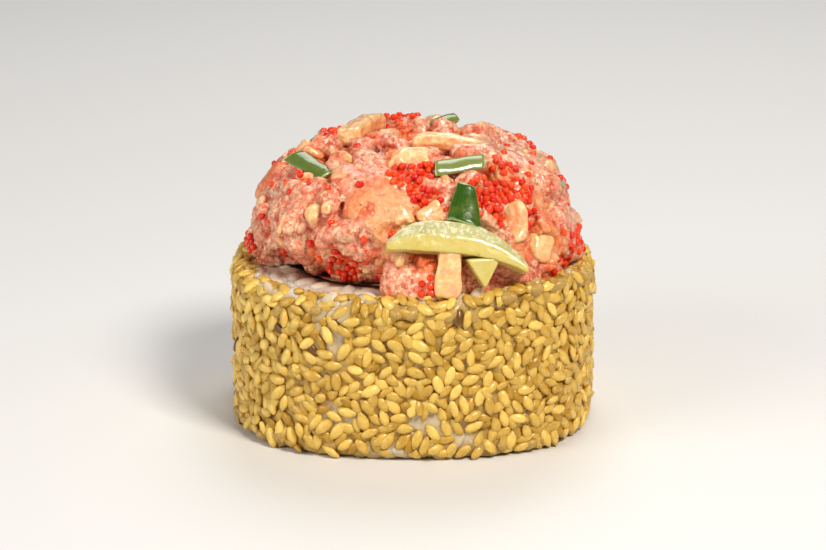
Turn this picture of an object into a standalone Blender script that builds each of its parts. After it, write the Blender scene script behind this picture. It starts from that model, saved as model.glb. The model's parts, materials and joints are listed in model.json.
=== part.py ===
"""One slice of an uramaki roll under a heap of chopped salmon and crab salad. Metres, +Z up.

The slice stands on its cut face, with its origin at the middle of that face. The side that shows
most, with the cucumber slice, faces -Y.
"""

import itertools
import math
import random

import bmesh
import bpy
from mathutils import Matrix, Vector, noise

# The slice.
SLICE_HEIGHT = 0.0215
ROLL_RADIUS = 0.0242
SQUARENESS = 2.6
EDGE_ROUNDING = 0.0016
ROLL_STEPS = 40
ROLL_LEVELS = 4
RELIEF = 0.00035
RELIEF_SPACING = 0.0042
HIGH_RIM_AZIMUTH = math.radians(-46)
HIGH_RIM_SPREAD = math.radians(22)
HIGH_RIM_LIFT = 0.0024
RIM_LIFT_STARTS = 0.7
RIM_LIFT_FADE = 3
# The power that gives a swell its flat top.
SWELL_POWER = 6

# The seaweed sheet rolled round the filling.
NORI_RADIUS = 0.0163
NORI_WALL = 0.0006
NORI_STEPS = 36

# Touching pieces keep this gap.
FIT_GAP = 0.0003
# A little less than the gap, so that the cut by the ring leaves its flat top off the heap's foot.
RING_GAP = 0.00027
# Points of one mesh that lie closer than this are one point. A joined mesh may need a wider weld.
WELD = 0.000001
JOINED_WELDS = (0.000001, 0.000002, 0.000005, 0.00001, 0.000015, 0.00002, 0.00003)

# Sesame seeds on the wall.
SEED_SIZE = Vector((0.0030, 0.0017, 0.0009))
SEED_TAPER = (0.37, 0.25)
SEED_RAISE = 0.00002
SEED_ROWS = 5
SEED_COLUMNS = 40
SEED_JITTER = 0.32
SEED_ROW_JITTER = 1.5
SEED_CLEARANCE = 0.0002
SEED_LOWEST = 0.0004
SEED_TRIES = 12
FUSED_REACH = 0.0018

# Cooked rice grains that stand out of the cut face.
GRAIN_SIZE = Vector((0.0052, 0.0025, 0.0019))
GRAIN_ROWS = 3
GRAIN_PITCH = 0.0041
GRAIN_SINK = 0.00026
GRAIN_INSET = 0.55
GRAIN_ROW_STEP = 1.05
GRAIN_TURNS = (0.8, 2.3)

# The heap of salad on top.
HEAP_HEIGHT = 0.0165
HEAP_MARGIN = 0.0024
HEAP_FULLNESS = 0.75
HEAP_RELIEF = 0.0007
HEAP_RELIEF_SPACING = 0.006
FOOT_CUTTER = Vector((0.1, 0.1, 0.01))
NOTCH_AZIMUTH = math.radians(-130)
NOTCH_SPREAD = math.radians(30)
NOTCH_DEPTH = 0.0080
NOTCH_FADE = 2.2
CORE_SNAP = 0.02

# Fish chunks in the heap: azimuth and elevation on it in degrees, then length, width, thickness.
FISH_CHUNKS = (
    (-90, 5, 0.0080, 0.0058, 0.0060),
    (-144, 14, 0.0068, 0.0066, 0.0050),
    (-144, 36, 0.0082, 0.0072, 0.0050),
    (166, 34, 0.0060, 0.0080, 0.0052),
    (-118, 54, 0.0074, 0.0062, 0.0042),
    (-104, 40, 0.0092, 0.0076, 0.0050),
    (-8, 50, 0.0126, 0.0106, 0.0064),
    (-22, 18, 0.0092, 0.0076, 0.0048),
    (4, 10, 0.0066, 0.0056, 0.0044),
    (-30, 72, 0.0074, 0.0066, 0.0044),
    (28, 24, 0.0088, 0.0070, 0.0050),
    (44, 48, 0.0094, 0.0078, 0.0050),
    (58, 18, 0.0078, 0.0066, 0.0048),
    (82, 36, 0.0090, 0.0074, 0.0050),
    (104, 16, 0.0082, 0.0064, 0.0050),
    (124, 42, 0.0092, 0.0070, 0.0052),
    (146, 20, 0.0080, 0.0070, 0.0050),
    (-172, 12, 0.0066, 0.0056, 0.0044),
    (90, 66, 0.0088, 0.0070, 0.0046),
)
CHUNK_RAISE = -0.2
CHUNK_TURN = 35
CHUNK_TILT = 14
CHUNK_JITTER = 0.10
CHUNK_BEVEL = 0.24

# Roe clusters: azimuth, elevation, spread in metres, count.
ROE_CLUSTERS = (
    (-54, 42, 0.0040, 8),
    (-88, 62, 0.0032, 4),
    (-86, 48, 0.0028, 3),
    (-116, 8, 0.0038, 5),
    (-178, 9, 0.0020, 2),
    (-26, 7, 0.0034, 3),
    (-152, 46, 0.0030, 2),
    (24, 44, 0.0034, 3),
    (96, 24, 0.0034, 3),
    (154, 32, 0.0034, 3),
)
ROE_RADIUS = 0.00055
ROE_SINK = 0.00012
ROE_CLEARANCE = 0.0004
ROE_SPACING = 0.00121
ROE_TRIES = 6
RAY_LENGTH = 0.024

# Spring onion cut into short bits: azimuth and elevation, the azimuth that the bit faces and its turn
# in degrees, then length, width, and curl in degrees.
SCALLIONS = (
    (-154, 53, -112, -34, 0.0064, 0.0027, 70),
    (-68, 45, -72, 68, 0.0050, 0.0044, 50),
    (-63, 64, -74, 8, 0.0060, 0.0034, 110),
    (60, 74, -60, 20, 0.0036, 0.0030, 100),
    (12, 34, 0, -40, 0.0040, 0.0034, 90),
    (66, 30, 66, 35, 0.0056, 0.0034, 80),
    (138, 44, 138, -60, 0.0052, 0.0032, 90),
)
SCALLION_WALL = 0.0008
SCALLION_SLANT = 0.25

# Shredded crab: azimuth, elevation, turn in degrees, length, width, thickness, bend in degrees.
CRAB_STRIPS = (
    (-78, 9, 86, 0.0050, 0.0032, 0.0022, 10),
    (-48, 79, -42, 0.0094, 0.0025, 0.0020, 25),
    (150, 76, 2, 0.0118, 0.0030, 0.0024, 20),
    (92, 46, 24, 0.0104, 0.0030, 0.0022, 25),
)
STRIP_BEVEL = 0.0006
STRIP_EDGE_ANGLE = math.radians(50)

# Chopped crab: azimuth, elevation, turn in degrees, length, width, thickness.
CRAB_BITS = (
    (-94, 70, 10, 0.0050, 0.0034, 0.0026),
    (-88, 42, 20, 0.0034, 0.0028, 0.0026),
    (-50, 35, 75, 0.0050, 0.0040, 0.0028),
    (-42, 17, 80, 0.0036, 0.0032, 0.0028),
    (-178, 17, 15, 0.0036, 0.0028, 0.0024),
    (-130, 36, 60, 0.0030, 0.0028, 0.0024),
    (40, 34, 30, 0.0050, 0.0038, 0.0030),
    (120, 20, -20, 0.0052, 0.0040, 0.0030),
    (76, 68, 50, 0.0044, 0.0036, 0.0028),
)
BIT_SINK = 0.35

# The cucumber: a crescent slice across the front of the heap, and a wedge under it.
CUCUMBER_AZIMUTH = -74
CUCUMBER_ELEVATION = 25
CUCUMBER_CHORD = 0.0186
CUCUMBER_RISE = 0.0046
CUCUMBER_END = 0.0012
CUCUMBER_HOLLOW = 0.0007
CUCUMBER_THICKNESS = 0.0036
CUCUMBER_TURN = -8
CUCUMBER_RAISE = 0.0008
CUCUMBER_BEVEL = 0.0004
CUCUMBER_STEPS = 8
WEDGE_AZIMUTH = -67
WEDGE_ELEVATION = 10
WEDGE_RADIUS = 0.0024
WEDGE_LENGTH = 0.0034
WEDGE_RAISE = 0.0010
WEDGE_TURN = math.radians(180)
WEDGE_BEVEL = 0.0003


def finish(name, colour, roughness):
    """A Principled material of one colour."""
    material = bpy.data.materials.new(name)
    material.use_nodes = True
    shader = material.node_tree.nodes["Principled BSDF"]
    shader.inputs["Base Color"].default_value = (*colour, 1.0)
    shader.inputs["Roughness"].default_value = roughness
    shader.inputs["Metallic"].default_value = 0.0
    return material


def add_object(name, mesh, collection, material=None):
    """An object of this mesh, linked to the collection."""
    piece = bpy.data.objects.new(name, mesh)
    collection.objects.link(piece)
    if material:
        mesh.materials.clear()
        mesh.materials.append(material)
    return piece


def mesh_from(bm, name):
    """The bmesh as a mesh with its faces pointing out."""
    bmesh.ops.recalc_face_normals(bm, faces=bm.faces)
    mesh = bpy.data.meshes.new(name)
    bm.to_mesh(mesh)
    bm.free()
    return mesh


def evaluated_mesh(piece):
    """The object's mesh with its modifiers or curve settings worked out, its doubles welded."""
    graph = bpy.context.evaluated_depsgraph_get()
    mesh = bpy.data.meshes.new_from_object(piece.evaluated_get(graph))
    bm = bmesh.new()
    bm.from_mesh(mesh)
    bmesh.ops.remove_doubles(bm, verts=bm.verts, dist=WELD)
    bm.to_mesh(mesh)
    bm.free()
    return mesh


def settle(mesh):
    """Tidies a joined mesh: points that only bend an edge go, and faces become triangles.

    The rest is welded in the first way that leaves the surface closed.
    """
    for distance, way in itertools.product(JOINED_WELDS, ("BEAUTY", "EAR_CLIP")):
        bm = bmesh.new()
        bm.from_mesh(mesh)
        bmesh.ops.remove_doubles(bm, verts=bm.verts, dist=distance)
        bmesh.ops.dissolve_verts(bm, verts=[vert for vert in bm.verts if len(vert.link_edges) == 2])
        bmesh.ops.triangulate(bm, faces=bm.faces, ngon_method=way)
        bmesh.ops.dissolve_degenerate(bm, edges=bm.edges, dist=WELD)
        bmesh.ops.triangulate(bm, faces=bm.faces)
        closed = all(edge.is_manifold for edge in bm.edges) and all(v.is_manifold for v in bm.verts)
        if closed:
            bm.to_mesh(mesh)
        bm.free()
        if closed:
            return
    raise RuntimeError("no weld closes the joined mesh")


def apply_boolean(piece, collection, operation):
    """Joins or cuts the piece with a whole collection, then removes the collection's objects."""
    modifier = piece.modifiers.new(operation.lower(), "BOOLEAN")
    modifier.operation = operation
    modifier.operand_type = "COLLECTION"
    modifier.collection = collection
    graph = bpy.context.evaluated_depsgraph_get()
    old = piece.data
    piece.data = bpy.data.meshes.new_from_object(piece.evaluated_get(graph))
    settle(piece.data)
    piece.data.shade_flat()
    piece.modifiers.remove(modifier)
    bpy.data.meshes.remove(old)
    for tool in list(collection.objects):
        bpy.data.objects.remove(tool)
    bpy.data.collections.remove(collection)


def helper_collection(name):
    """A collection for solids that are joined to a piece or cut from it."""
    collection = bpy.data.collections.new(name)
    bpy.context.scene.collection.children.link(collection)
    return collection


def swell(azimuth, centre, spread):
    """A smooth bump of height 1 round an azimuth, flat on top."""
    away = abs(math.remainder(azimuth - centre, math.tau)) / spread
    return 1 / (1 + away**SWELL_POWER)


def rounded_square(azimuth, radius):
    """Distance from the axis to a rounded square of this half width."""
    across, along = abs(math.cos(azimuth)), abs(math.sin(azimuth))
    return radius / (across**SQUARENESS + along**SQUARENESS) ** (1 / SQUARENESS)


def wall_point(azimuth, height, radius=ROLL_RADIUS):
    """A point on the pressed rice wall, with the low relief of its grains."""
    flat = Vector((math.cos(azimuth), math.sin(azimuth), 0))
    place = flat * rounded_square(azimuth, radius) + Vector((0, 0, height))
    return place + flat * RELIEF * noise.noise(place / RELIEF_SPACING)


def rim_rise(azimuth, radius, height):
    """How far the rice is raised at a place near the rim of the cut face."""
    near_rim = (radius - NORI_RADIUS - FIT_GAP) / (ROLL_RADIUS - NORI_RADIUS - FIT_GAP)
    near_rim = max(0.0, (near_rim - RIM_LIFT_STARTS) / (1 - RIM_LIFT_STARTS))
    near_top = max(0.0, height / SLICE_HEIGHT) ** RIM_LIFT_FADE
    return HIGH_RIM_LIFT * swell(azimuth, HIGH_RIM_AZIMUTH, HIGH_RIM_SPREAD) * near_rim * near_top


def turned(profile, steps):
    """The mesh of a closed profile of (radius, height) points, turned once about the Z axis."""
    outline = bpy.data.meshes.new("profile")
    count = len(profile)
    edges = [(i, (i + 1) % count) for i in range(count)]
    outline.from_pydata([(radius, 0, height) for radius, height in profile], edges, [])
    source = add_object("profile", outline, bpy.context.scene.collection)
    screw = source.modifiers.new("turn", "SCREW")
    screw.steps = screw.render_steps = steps
    screw.use_merge_vertices = True
    screw.merge_threshold = WELD
    mesh = evaluated_mesh(source)
    bpy.data.objects.remove(source)
    return mesh


def ring_profile(inner, outer, height, rounding, levels):
    """A ring's section, from the top of its outer side down and back up inside."""
    points = []
    for step in range(3):
        angle = math.radians(90 - 45 * step)
        reach = outer - rounding + rounding * math.cos(angle)
        points.append((reach, height - rounding + rounding * math.sin(angle)))
    for level in range(1, levels):
        share = 1 - level / levels
        points.append((outer, rounding + share * (height - 2 * rounding)))
    for step in range(3):
        angle = math.radians(-45 * step)
        reach = outer - rounding + rounding * math.cos(angle)
        points.append((reach, rounding + rounding * math.sin(angle)))
    points += [(inner, 0), (inner, height)]
    middle = (inner + outer - rounding) / 2
    return points + [(middle, height)]


def rice_ring():
    """The ring of pressed rice: a turned ring pushed out to a rounded square, with an uneven wall."""
    inner = NORI_RADIUS + FIT_GAP
    mesh = turned(ring_profile(inner, ROLL_RADIUS, SLICE_HEIGHT, EDGE_ROUNDING, ROLL_LEVELS), ROLL_STEPS)
    for vert in mesh.vertices:
        azimuth, radius = math.atan2(vert.co.y, vert.co.x), vert.co.xy.length
        flat = Vector((math.cos(azimuth), math.sin(azimuth), 0))
        hole = flat * rounded_square(azimuth, inner) + Vector((0, 0, vert.co.z))
        place = hole.lerp(wall_point(azimuth, vert.co.z), (radius - inner) / (ROLL_RADIUS - inner))
        vert.co = place + Vector((0, 0, rim_rise(azimuth, radius, vert.co.z)))
    return mesh


def seed_mesh():
    """A sesame seed along X: round at one end and drawn to a point at the other."""
    bm = bmesh.new()
    bmesh.ops.create_uvsphere(bm, u_segments=4, v_segments=3, radius=0.5)
    bmesh.ops.rotate(bm, verts=bm.verts, matrix=Matrix.Rotation(math.pi / 2, 3, "Y"))
    for vert in bm.verts:
        toward_point = max(0.0, vert.co.x) * 2
        vert.co.y *= 1 - SEED_TAPER[0] * toward_point
        vert.co.z *= 1 - SEED_TAPER[1] * toward_point
    bmesh.ops.scale(bm, verts=bm.verts, vec=SEED_SIZE)
    return mesh_from(bm, "seed")


def grain_mesh():
    """A cooked rice grain along X, with few sides."""
    bm = bmesh.new()
    bmesh.ops.create_uvsphere(bm, u_segments=6, v_segments=4, radius=0.5)
    bmesh.ops.rotate(bm, verts=bm.verts, matrix=Matrix.Rotation(math.pi / 2, 3, "Y"))
    bmesh.ops.scale(bm, verts=bm.verts, vec=GRAIN_SIZE)
    return mesh_from(bm, "grain")


def frame_at(place, along, outward):
    """A matrix at a place, with X along a direction and Z outward."""
    outward = outward.normalized()
    across = outward.cross(along).normalized()
    along = across.cross(outward)
    turn = Matrix((along, across, outward)).transposed().to_4x4()
    return Matrix.Translation(place) @ turn


def roll_surface(azimuth, run):
    """A point on the rice's outside, at a run along its profile from the bottom face to the top face."""
    quarter = EDGE_ROUNDING * math.pi / 2
    straight = SLICE_HEIGHT - 2 * EDGE_ROUNDING
    angle = min(0.0, run / EDGE_ROUNDING - math.pi / 2)
    angle += max(0.0, (run - quarter - straight) / EDGE_ROUNDING)
    height = EDGE_ROUNDING * (1 + math.sin(angle)) + min(straight, max(0.0, run - quarter))
    radius = ROLL_RADIUS - EDGE_ROUNDING * (1 - math.cos(angle))
    return wall_point(azimuth, height, radius) + Vector((0, 0, rim_rise(azimuth, radius, height)))


def roll_frame(azimuth, run, turn):
    """A matrix on the rice's outside: Z outward, X turned from the horizontal in the surface."""
    turn_step, run_step = 0.01, 0.0002
    level = roll_surface(azimuth + turn_step, run) - roll_surface(azimuth - turn_step, run)
    upward = roll_surface(azimuth, run + run_step) - roll_surface(azimuth, run - run_step)
    matrix = frame_at(roll_surface(azimuth, run), level, level.cross(upward))
    return matrix @ Matrix.Rotation(turn, 4, "Z")


def ends_of(matrix, reach):
    """The two ends of a piece's long middle line."""
    along = matrix.col[0].to_3d() * reach
    return matrix.translation - along, matrix.translation + along


def lines_distance(first, second):
    """A close upper bound of the distance between two short lines, from points along both."""
    shares = (0, 0.25, 0.5, 0.75, 1)
    ones = [first[0].lerp(first[1], share) for share in shares]
    others = [second[0].lerp(second[1], share) for share in shares]
    return min((one - other).length for one in ones for other in others)


def seed_frames(draw):
    """Places for the seeds: staggered rows round the wall, each seed shifted and turned at random."""
    core = (SEED_SIZE.x - SEED_SIZE.y) / 2
    spacing = SEED_SIZE.y + SEED_CLEARANCE
    profile = SLICE_HEIGHT + EDGE_ROUNDING * (math.pi - 2)
    frames, lines = [], []
    for row in range(SEED_ROWS):
        for column in range(SEED_COLUMNS):
            for _ in range(SEED_TRIES):
                aside, up = draw.uniform(-SEED_JITTER, SEED_JITTER), draw.uniform(-SEED_JITTER, SEED_JITTER)
                azimuth = math.tau * (column + row % 2 / 2 + aside) / SEED_COLUMNS
                run = profile * (row + 0.5 + SEED_ROW_JITTER * up) / SEED_ROWS
                matrix = roll_frame(azimuth, run, draw.uniform(0, math.pi))
                line = ends_of(matrix, core)
                low = min(end.z for end in line) < SEED_SIZE.y / 2 + SEED_LOWEST
                if not low and all(lines_distance(line, other) > spacing for other in lines):
                    frames.append(matrix @ Matrix.Translation((0, 0, SEED_RAISE)))
                    lines.append(line)
                    break
    return frames


def notch_depth(azimuth):
    """How far the foot of the heap is drawn in, where the rice and nori show."""
    return NOTCH_DEPTH * swell(azimuth, NOTCH_AZIMUTH, NOTCH_SPREAD)


def heap_edge(azimuth):
    """Distance from the axis to the foot of the heap."""
    return rounded_square(azimuth, ROLL_RADIUS) - HEAP_MARGIN - notch_depth(azimuth)


def heap_point(azimuth, elevation):
    """A point on the heap's plain surface, at an elevation of 0 on its foot and 90 degrees on top."""
    reach = heap_edge(azimuth) * max(0.0, math.cos(elevation)) ** HEAP_FULLNESS
    # Higher up the notch fades, so the heap leans out over it.
    reach += notch_depth(azimuth) * math.cos(elevation) * min(1.0, math.sin(elevation) * NOTCH_FADE)
    height = SLICE_HEIGHT + FIT_GAP + HEAP_HEIGHT * math.sin(elevation)
    return Vector((reach * math.cos(azimuth), reach * math.sin(azimuth), height))


def heap_frame(azimuth, elevation, turn=0.0, raised=0.0, facing=None):
    """A matrix on the heap: X level and to the right as seen from outside, Z outward, turned about Z.

    A piece lies with the slope under it, unless it faces another azimuth.
    """
    place = heap_point(math.radians(azimuth), math.radians(elevation))
    azimuth = math.radians(azimuth if facing is None else facing)
    elevation = math.radians(elevation)
    step = 0.02
    level = heap_point(azimuth + step, elevation) - heap_point(azimuth - step, elevation)
    upward = heap_point(azimuth, elevation + step) - heap_point(azimuth, elevation - step)
    outward = level.cross(upward).normalized()
    matrix = frame_at(place + outward * raised, level, outward)
    return matrix @ Matrix.Rotation(math.radians(turn), 4, "Z")


def heap_core():
    """The smaller core of the heap: a lumpy dome with a flat foot."""
    bm = bmesh.new()
    bmesh.ops.create_icosphere(bm, subdivisions=3, radius=1)
    bmesh.ops.bisect_plane(
        bm,
        geom=bm.verts[:] + bm.edges[:] + bm.faces[:],
        plane_co=(0, 0, 0),
        plane_no=(0, 0, 1),
        dist=CORE_SNAP,
        use_snap_center=True,
        clear_inner=True,
    )
    bmesh.ops.remove_doubles(bm, verts=bm.verts, dist=CORE_SNAP)
    bmesh.ops.contextual_create(bm, geom=[edge for edge in bm.edges if edge.is_boundary])
    for vert in bm.verts:
        azimuth = math.atan2(vert.co.y, vert.co.x)
        elevation = math.asin(min(1.0, max(0.0, vert.co.z)))
        place = heap_point(azimuth, elevation)
        lump = HEAP_RELIEF * noise.noise(place / HEAP_RELIEF_SPACING) * math.sin(elevation)
        vert.co = place + Vector((place.x, place.y, place.z - SLICE_HEIGHT)).normalized() * lump
    bmesh.ops.triangulate(bm, faces=bm.faces)
    return mesh_from(bm, "heap_core")


def chunk_mesh(size, draw):
    """A torn chunk: a block with worn edges and uneven corners."""
    bm = bmesh.new()
    bmesh.ops.create_cube(bm, size=1)
    for vert in bm.verts:
        vert.co += Vector([draw.uniform(-CHUNK_JITTER, CHUNK_JITTER) for _ in range(3)])
    bmesh.ops.bevel(
        bm, geom=bm.edges[:], offset=CHUNK_BEVEL, segments=1, profile=0.5, affect="EDGES", material=-1
    )
    bmesh.ops.scale(bm, verts=bm.verts, vec=size)
    return mesh_from(bm, "chunk")


def strip_mesh(size, bend):
    """A strand of crab: a flat bar with worn edges that curls lengthwise."""
    bm = bmesh.new()
    bmesh.ops.create_cube(bm, size=1)
    bmesh.ops.scale(bm, verts=bm.verts, vec=size)
    long_edges = [e for e in bm.edges if abs(e.verts[0].co.x - e.verts[1].co.x) > size.x / 2]
    bmesh.ops.subdivide_edges(bm, edges=long_edges, cuts=3, use_grid_fill=True)
    bend_along(bm, size.x, math.radians(bend))
    ends_and_sides = [e for e in bm.edges if e.calc_face_angle(0) > STRIP_EDGE_ANGLE]
    bmesh.ops.bevel(
        bm, geom=ends_and_sides, offset=STRIP_BEVEL, segments=1, profile=0.5, affect="EDGES", material=-1
    )
    return mesh_from(bm, "strip")


def bend_along(bm, length, angle):
    """Bends a piece that lies along X round the Y axis, its ends turned towards -Z."""
    if not angle:
        return
    radius = length / angle
    for vert in bm.verts:
        share = vert.co.x / radius
        reach = radius + vert.co.z
        vert.co.x = reach * math.sin(share)
        vert.co.z = reach * math.cos(share) - radius


def scallion_mesh(length, width, curl):
    """A bit of spring onion: a curled sheet with a wall, its tube running along X."""
    bm = bmesh.new()
    bmesh.ops.create_grid(bm, x_segments=1, y_segments=5, size=0.5)
    bmesh.ops.scale(bm, verts=bm.verts, vec=(length, width, 1))
    radius = width / math.radians(curl)
    for vert in bm.verts:
        angle = vert.co.y / radius
        vert.co.y = radius * math.sin(angle)
        vert.co.z = radius * (math.cos(angle) - math.cos(math.radians(curl) / 2))
        vert.co.x += vert.co.y * SCALLION_SLANT
    bmesh.ops.recalc_face_normals(bm, faces=bm.faces)
    bmesh.ops.solidify(bm, geom=bm.faces[:], thickness=SCALLION_WALL)
    return mesh_from(bm, "scallion")


def cucumber_mesh():
    """A half-moon slice: an arched outline over a nearly straight edge, its flat faces along Z."""
    curve = bpy.data.curves.new("half_moon", "CURVE")
    curve.dimensions = "2D"
    curve.fill_mode = "BOTH"
    curve.extrude = CUCUMBER_THICKNESS / 2 - CUCUMBER_BEVEL
    curve.bevel_depth = CUCUMBER_BEVEL
    curve.bevel_resolution = 0
    half = CUCUMBER_CHORD / 2 - CUCUMBER_BEVEL
    shares = [2 * step / CUCUMBER_STEPS - 1 for step in range(CUCUMBER_STEPS + 1)]
    rise = CUCUMBER_RISE - CUCUMBER_END
    arch = [(half * share, CUCUMBER_END + rise * (1 - share * share)) for share in shares]
    edge = [(half * share, CUCUMBER_HOLLOW * (1 - share * share)) for share in reversed(shares)]
    spline = curve.splines.new("POLY")
    spline.points.add(len(arch + edge) - 1)
    for target, (x, y) in zip(spline.points, arch + edge):
        target.co = (x, y - CUCUMBER_RISE / 2, 0, 1)
    spline.use_cyclic_u = True
    source = bpy.data.objects.new("half_moon", curve)
    bpy.context.scene.collection.objects.link(source)
    mesh = evaluated_mesh(source)
    bpy.data.objects.remove(source)
    return mesh


def wedge_mesh():
    """A short three-sided wedge of cucumber along Z."""
    bm = bmesh.new()
    bmesh.ops.create_cone(
        bm, cap_ends=True, segments=3, radius1=WEDGE_RADIUS, radius2=WEDGE_RADIUS, depth=WEDGE_LENGTH
    )
    bmesh.ops.bevel(
        bm, geom=bm.edges[:], offset=WEDGE_BEVEL, segments=1, profile=0.5, affect="EDGES", material=-1
    )
    bmesh.ops.rotate(bm, verts=bm.verts, matrix=Matrix.Rotation(WEDGE_TURN, 3, "Z"))
    return mesh_from(bm, "wedge")


def swollen(mesh, gap):
    """A copy of a mesh that is larger by a gap all round, for cutting a pocket."""
    bm = bmesh.new()
    bm.from_mesh(mesh)
    bm.normal_update()
    moves = {vert: vert.normal * gap * max(1.0, vert.calc_shell_factor()) for vert in bm.verts}
    for vert, move in moves.items():
        vert.co += move
    return mesh_from(bm, "pocket")


def add_loose_pieces(collection, finishes):
    """The pieces of the salad that are told apart: cucumber, crab and spring onion."""
    placed = [
        (
            "cucumber_slice",
            cucumber_mesh(),
            heap_frame(CUCUMBER_AZIMUTH, CUCUMBER_ELEVATION, CUCUMBER_TURN, CUCUMBER_RAISE),
            "cucumber",
        ),
        (
            "cucumber_wedge",
            wedge_mesh(),
            heap_frame(WEDGE_AZIMUTH, WEDGE_ELEVATION, 0, WEDGE_RAISE),
            "cucumber",
        ),
    ]
    for number, (azimuth, elevation, turn, *size, bend) in enumerate(CRAB_STRIPS, 1):
        frame = heap_frame(azimuth, elevation, turn, size[2] * BIT_SINK)
        placed.append((f"crab_strip_{number}", strip_mesh(Vector(size), bend), frame, "crab"))
    draw = random.Random(31)
    for number, (azimuth, elevation, turn, *size) in enumerate(CRAB_BITS, 1):
        frame = heap_frame(azimuth, elevation, turn, size[2] * BIT_SINK)
        placed.append((f"crab_bit_{number}", chunk_mesh(Vector(size), draw), frame, "crab"))
    for number, (azimuth, elevation, facing, turn, length, width, curl) in enumerate(SCALLIONS, 1):
        frame = heap_frame(azimuth, elevation, turn, SCALLION_WALL, facing)
        placed.append((f"scallion_{number}", scallion_mesh(length, width, curl), frame, "scallion"))
    pieces = []
    for name, mesh, frame, kind in placed:
        piece = add_object(name, mesh, collection, finishes[kind])
        piece.matrix_world = frame
        pieces.append(piece)
    bpy.context.view_layer.update()
    return pieces


def near_any(place, pieces, clearance):
    """Whether a place lies closer to the surface of one of the pieces than the clearance."""
    for piece in pieces:
        local = piece.matrix_world.inverted() @ place
        found, near, _, _ = piece.closest_point_on_mesh(local)
        if found and (local - near).length < clearance:
            return True
    return False


def covered_by_any(start, direction, pieces):
    """Whether a ray from outside the heap meets one of the pieces."""
    for piece in pieces:
        to_local = piece.matrix_world.inverted()
        if piece.ray_cast(to_local @ start, to_local.to_3x3() @ direction, distance=RAY_LENGTH)[0]:
            return True
    return False


def add_fish_chunks(collection, draw):
    """The chunks of fish that are joined to the heap."""
    for azimuth, elevation, *size in FISH_CHUNKS:
        turn = draw.uniform(-CHUNK_TURN, CHUNK_TURN)
        frame = heap_frame(azimuth, elevation, turn, size[2] * CHUNK_RAISE)
        tilt = Matrix.Rotation(math.radians(draw.uniform(-CHUNK_TILT, CHUNK_TILT)), 4, "X")
        piece = add_object("chunk", chunk_mesh(Vector(size), draw), collection)
        piece.matrix_world = frame @ tilt


def add_roe(collection, heap, loose, draw):
    """Clusters of roe laid on the joined heap, clear of the loose pieces."""
    bm = bmesh.new()
    bmesh.ops.create_icosphere(bm, subdivisions=1, radius=ROE_RADIUS)
    egg = mesh_from(bm, "egg")
    places = []
    for azimuth, elevation, spread, count in ROE_CLUSTERS:
        frame = heap_frame(azimuth, elevation)
        inward = -frame.col[2].to_3d()
        wanted = len(places) + count
        for _ in range(count * ROE_TRIES):
            if len(places) == wanted:
                break
            aside = Vector((draw.gauss(0, spread / 2), draw.gauss(0, spread / 2), RAY_LENGTH / 2))
            start = frame @ aside
            hit, place, normal, _ = heap.ray_cast(start, inward, distance=RAY_LENGTH)
            place = place + normal * (ROE_RADIUS - ROE_SINK)
            crowded = any((place - other).length < ROE_SPACING for other in places)
            low = place.z < SLICE_HEIGHT + 2 * ROE_RADIUS
            if not hit or crowded or low or covered_by_any(start, inward, loose):
                continue
            if not near_any(place, loose, ROE_RADIUS + ROE_CLEARANCE):
                places.append(place)
    for place in places:
        piece = add_object("egg", egg, collection)
        piece.rotation_euler = [draw.uniform(0, math.pi) for _ in range(3)]
        piece.location = place


def salad_heap(collection, loose, material):
    """The heap: its core with fish chunks and roe joined on, and pockets for the loose pieces."""
    draw = random.Random(7)
    heap = add_object("salmon_salad", heap_core(), collection, material)
    chunks = helper_collection("chunks")
    add_fish_chunks(chunks, draw)
    apply_boolean(heap, chunks, "UNION")
    bpy.context.view_layer.update()
    foot = helper_collection("foot")
    add_foot_cutter(foot)
    apply_boolean(heap, foot, "DIFFERENCE")
    bpy.context.view_layer.update()
    roe = helper_collection("roe")
    add_roe(roe, heap, loose, draw)
    apply_boolean(heap, roe, "UNION")
    pockets = helper_collection("pockets")
    for piece in loose:
        pocket = add_object("pocket", swollen(piece.data, FIT_GAP), pockets)
        pocket.matrix_world = piece.matrix_world
    add_object("pocket", swollen(rice_ring(), RING_GAP), pockets)
    bpy.context.view_layer.update()
    apply_boolean(heap, pockets, "DIFFERENCE")
    heap.data.materials.clear()
    heap.data.materials.append(material)
    return heap


def add_foot_cutter(collection):
    """A block that trims the chunks level with the foot of the heap."""
    bm = bmesh.new()
    bmesh.ops.create_cube(bm, size=1)
    bmesh.ops.scale(bm, verts=bm.verts, vec=FOOT_CUTTER)
    level = SLICE_HEIGHT + FIT_GAP - FOOT_CUTTER.z / 2
    bmesh.ops.translate(bm, verts=bm.verts, vec=(0, 0, level))
    add_object("foot", mesh_from(bm, "foot"), collection)


def grain_frames(draw):
    """Places for the grains on the cut face, in rings between the heap's foot and the rim."""
    frames = []
    for row in range(GRAIN_ROWS):
        inset = EDGE_ROUNDING + GRAIN_SIZE.y * (GRAIN_INSET + row * GRAIN_ROW_STEP)
        count = int(math.tau * (ROLL_RADIUS - inset) / GRAIN_PITCH)
        for index in range(count):
            azimuth = math.tau * (index + 0.5 * (row % 2)) / count
            reach = rounded_square(azimuth, ROLL_RADIUS) - inset
            inner = max(heap_edge(azimuth), rounded_square(azimuth, NORI_RADIUS))
            if reach - GRAIN_SIZE.x / 2 < inner + FIT_GAP * 2:
                continue
            level = SLICE_HEIGHT - GRAIN_SINK
            place = Vector((reach * math.cos(azimuth), reach * math.sin(azimuth), level))
            along = Matrix.Rotation(azimuth + draw.uniform(*GRAIN_TURNS), 3, "Z") @ Vector((1, 0, 0))
            frames.append(frame_at(place, along, Vector((0, 0, 1))))
    return frames


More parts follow.
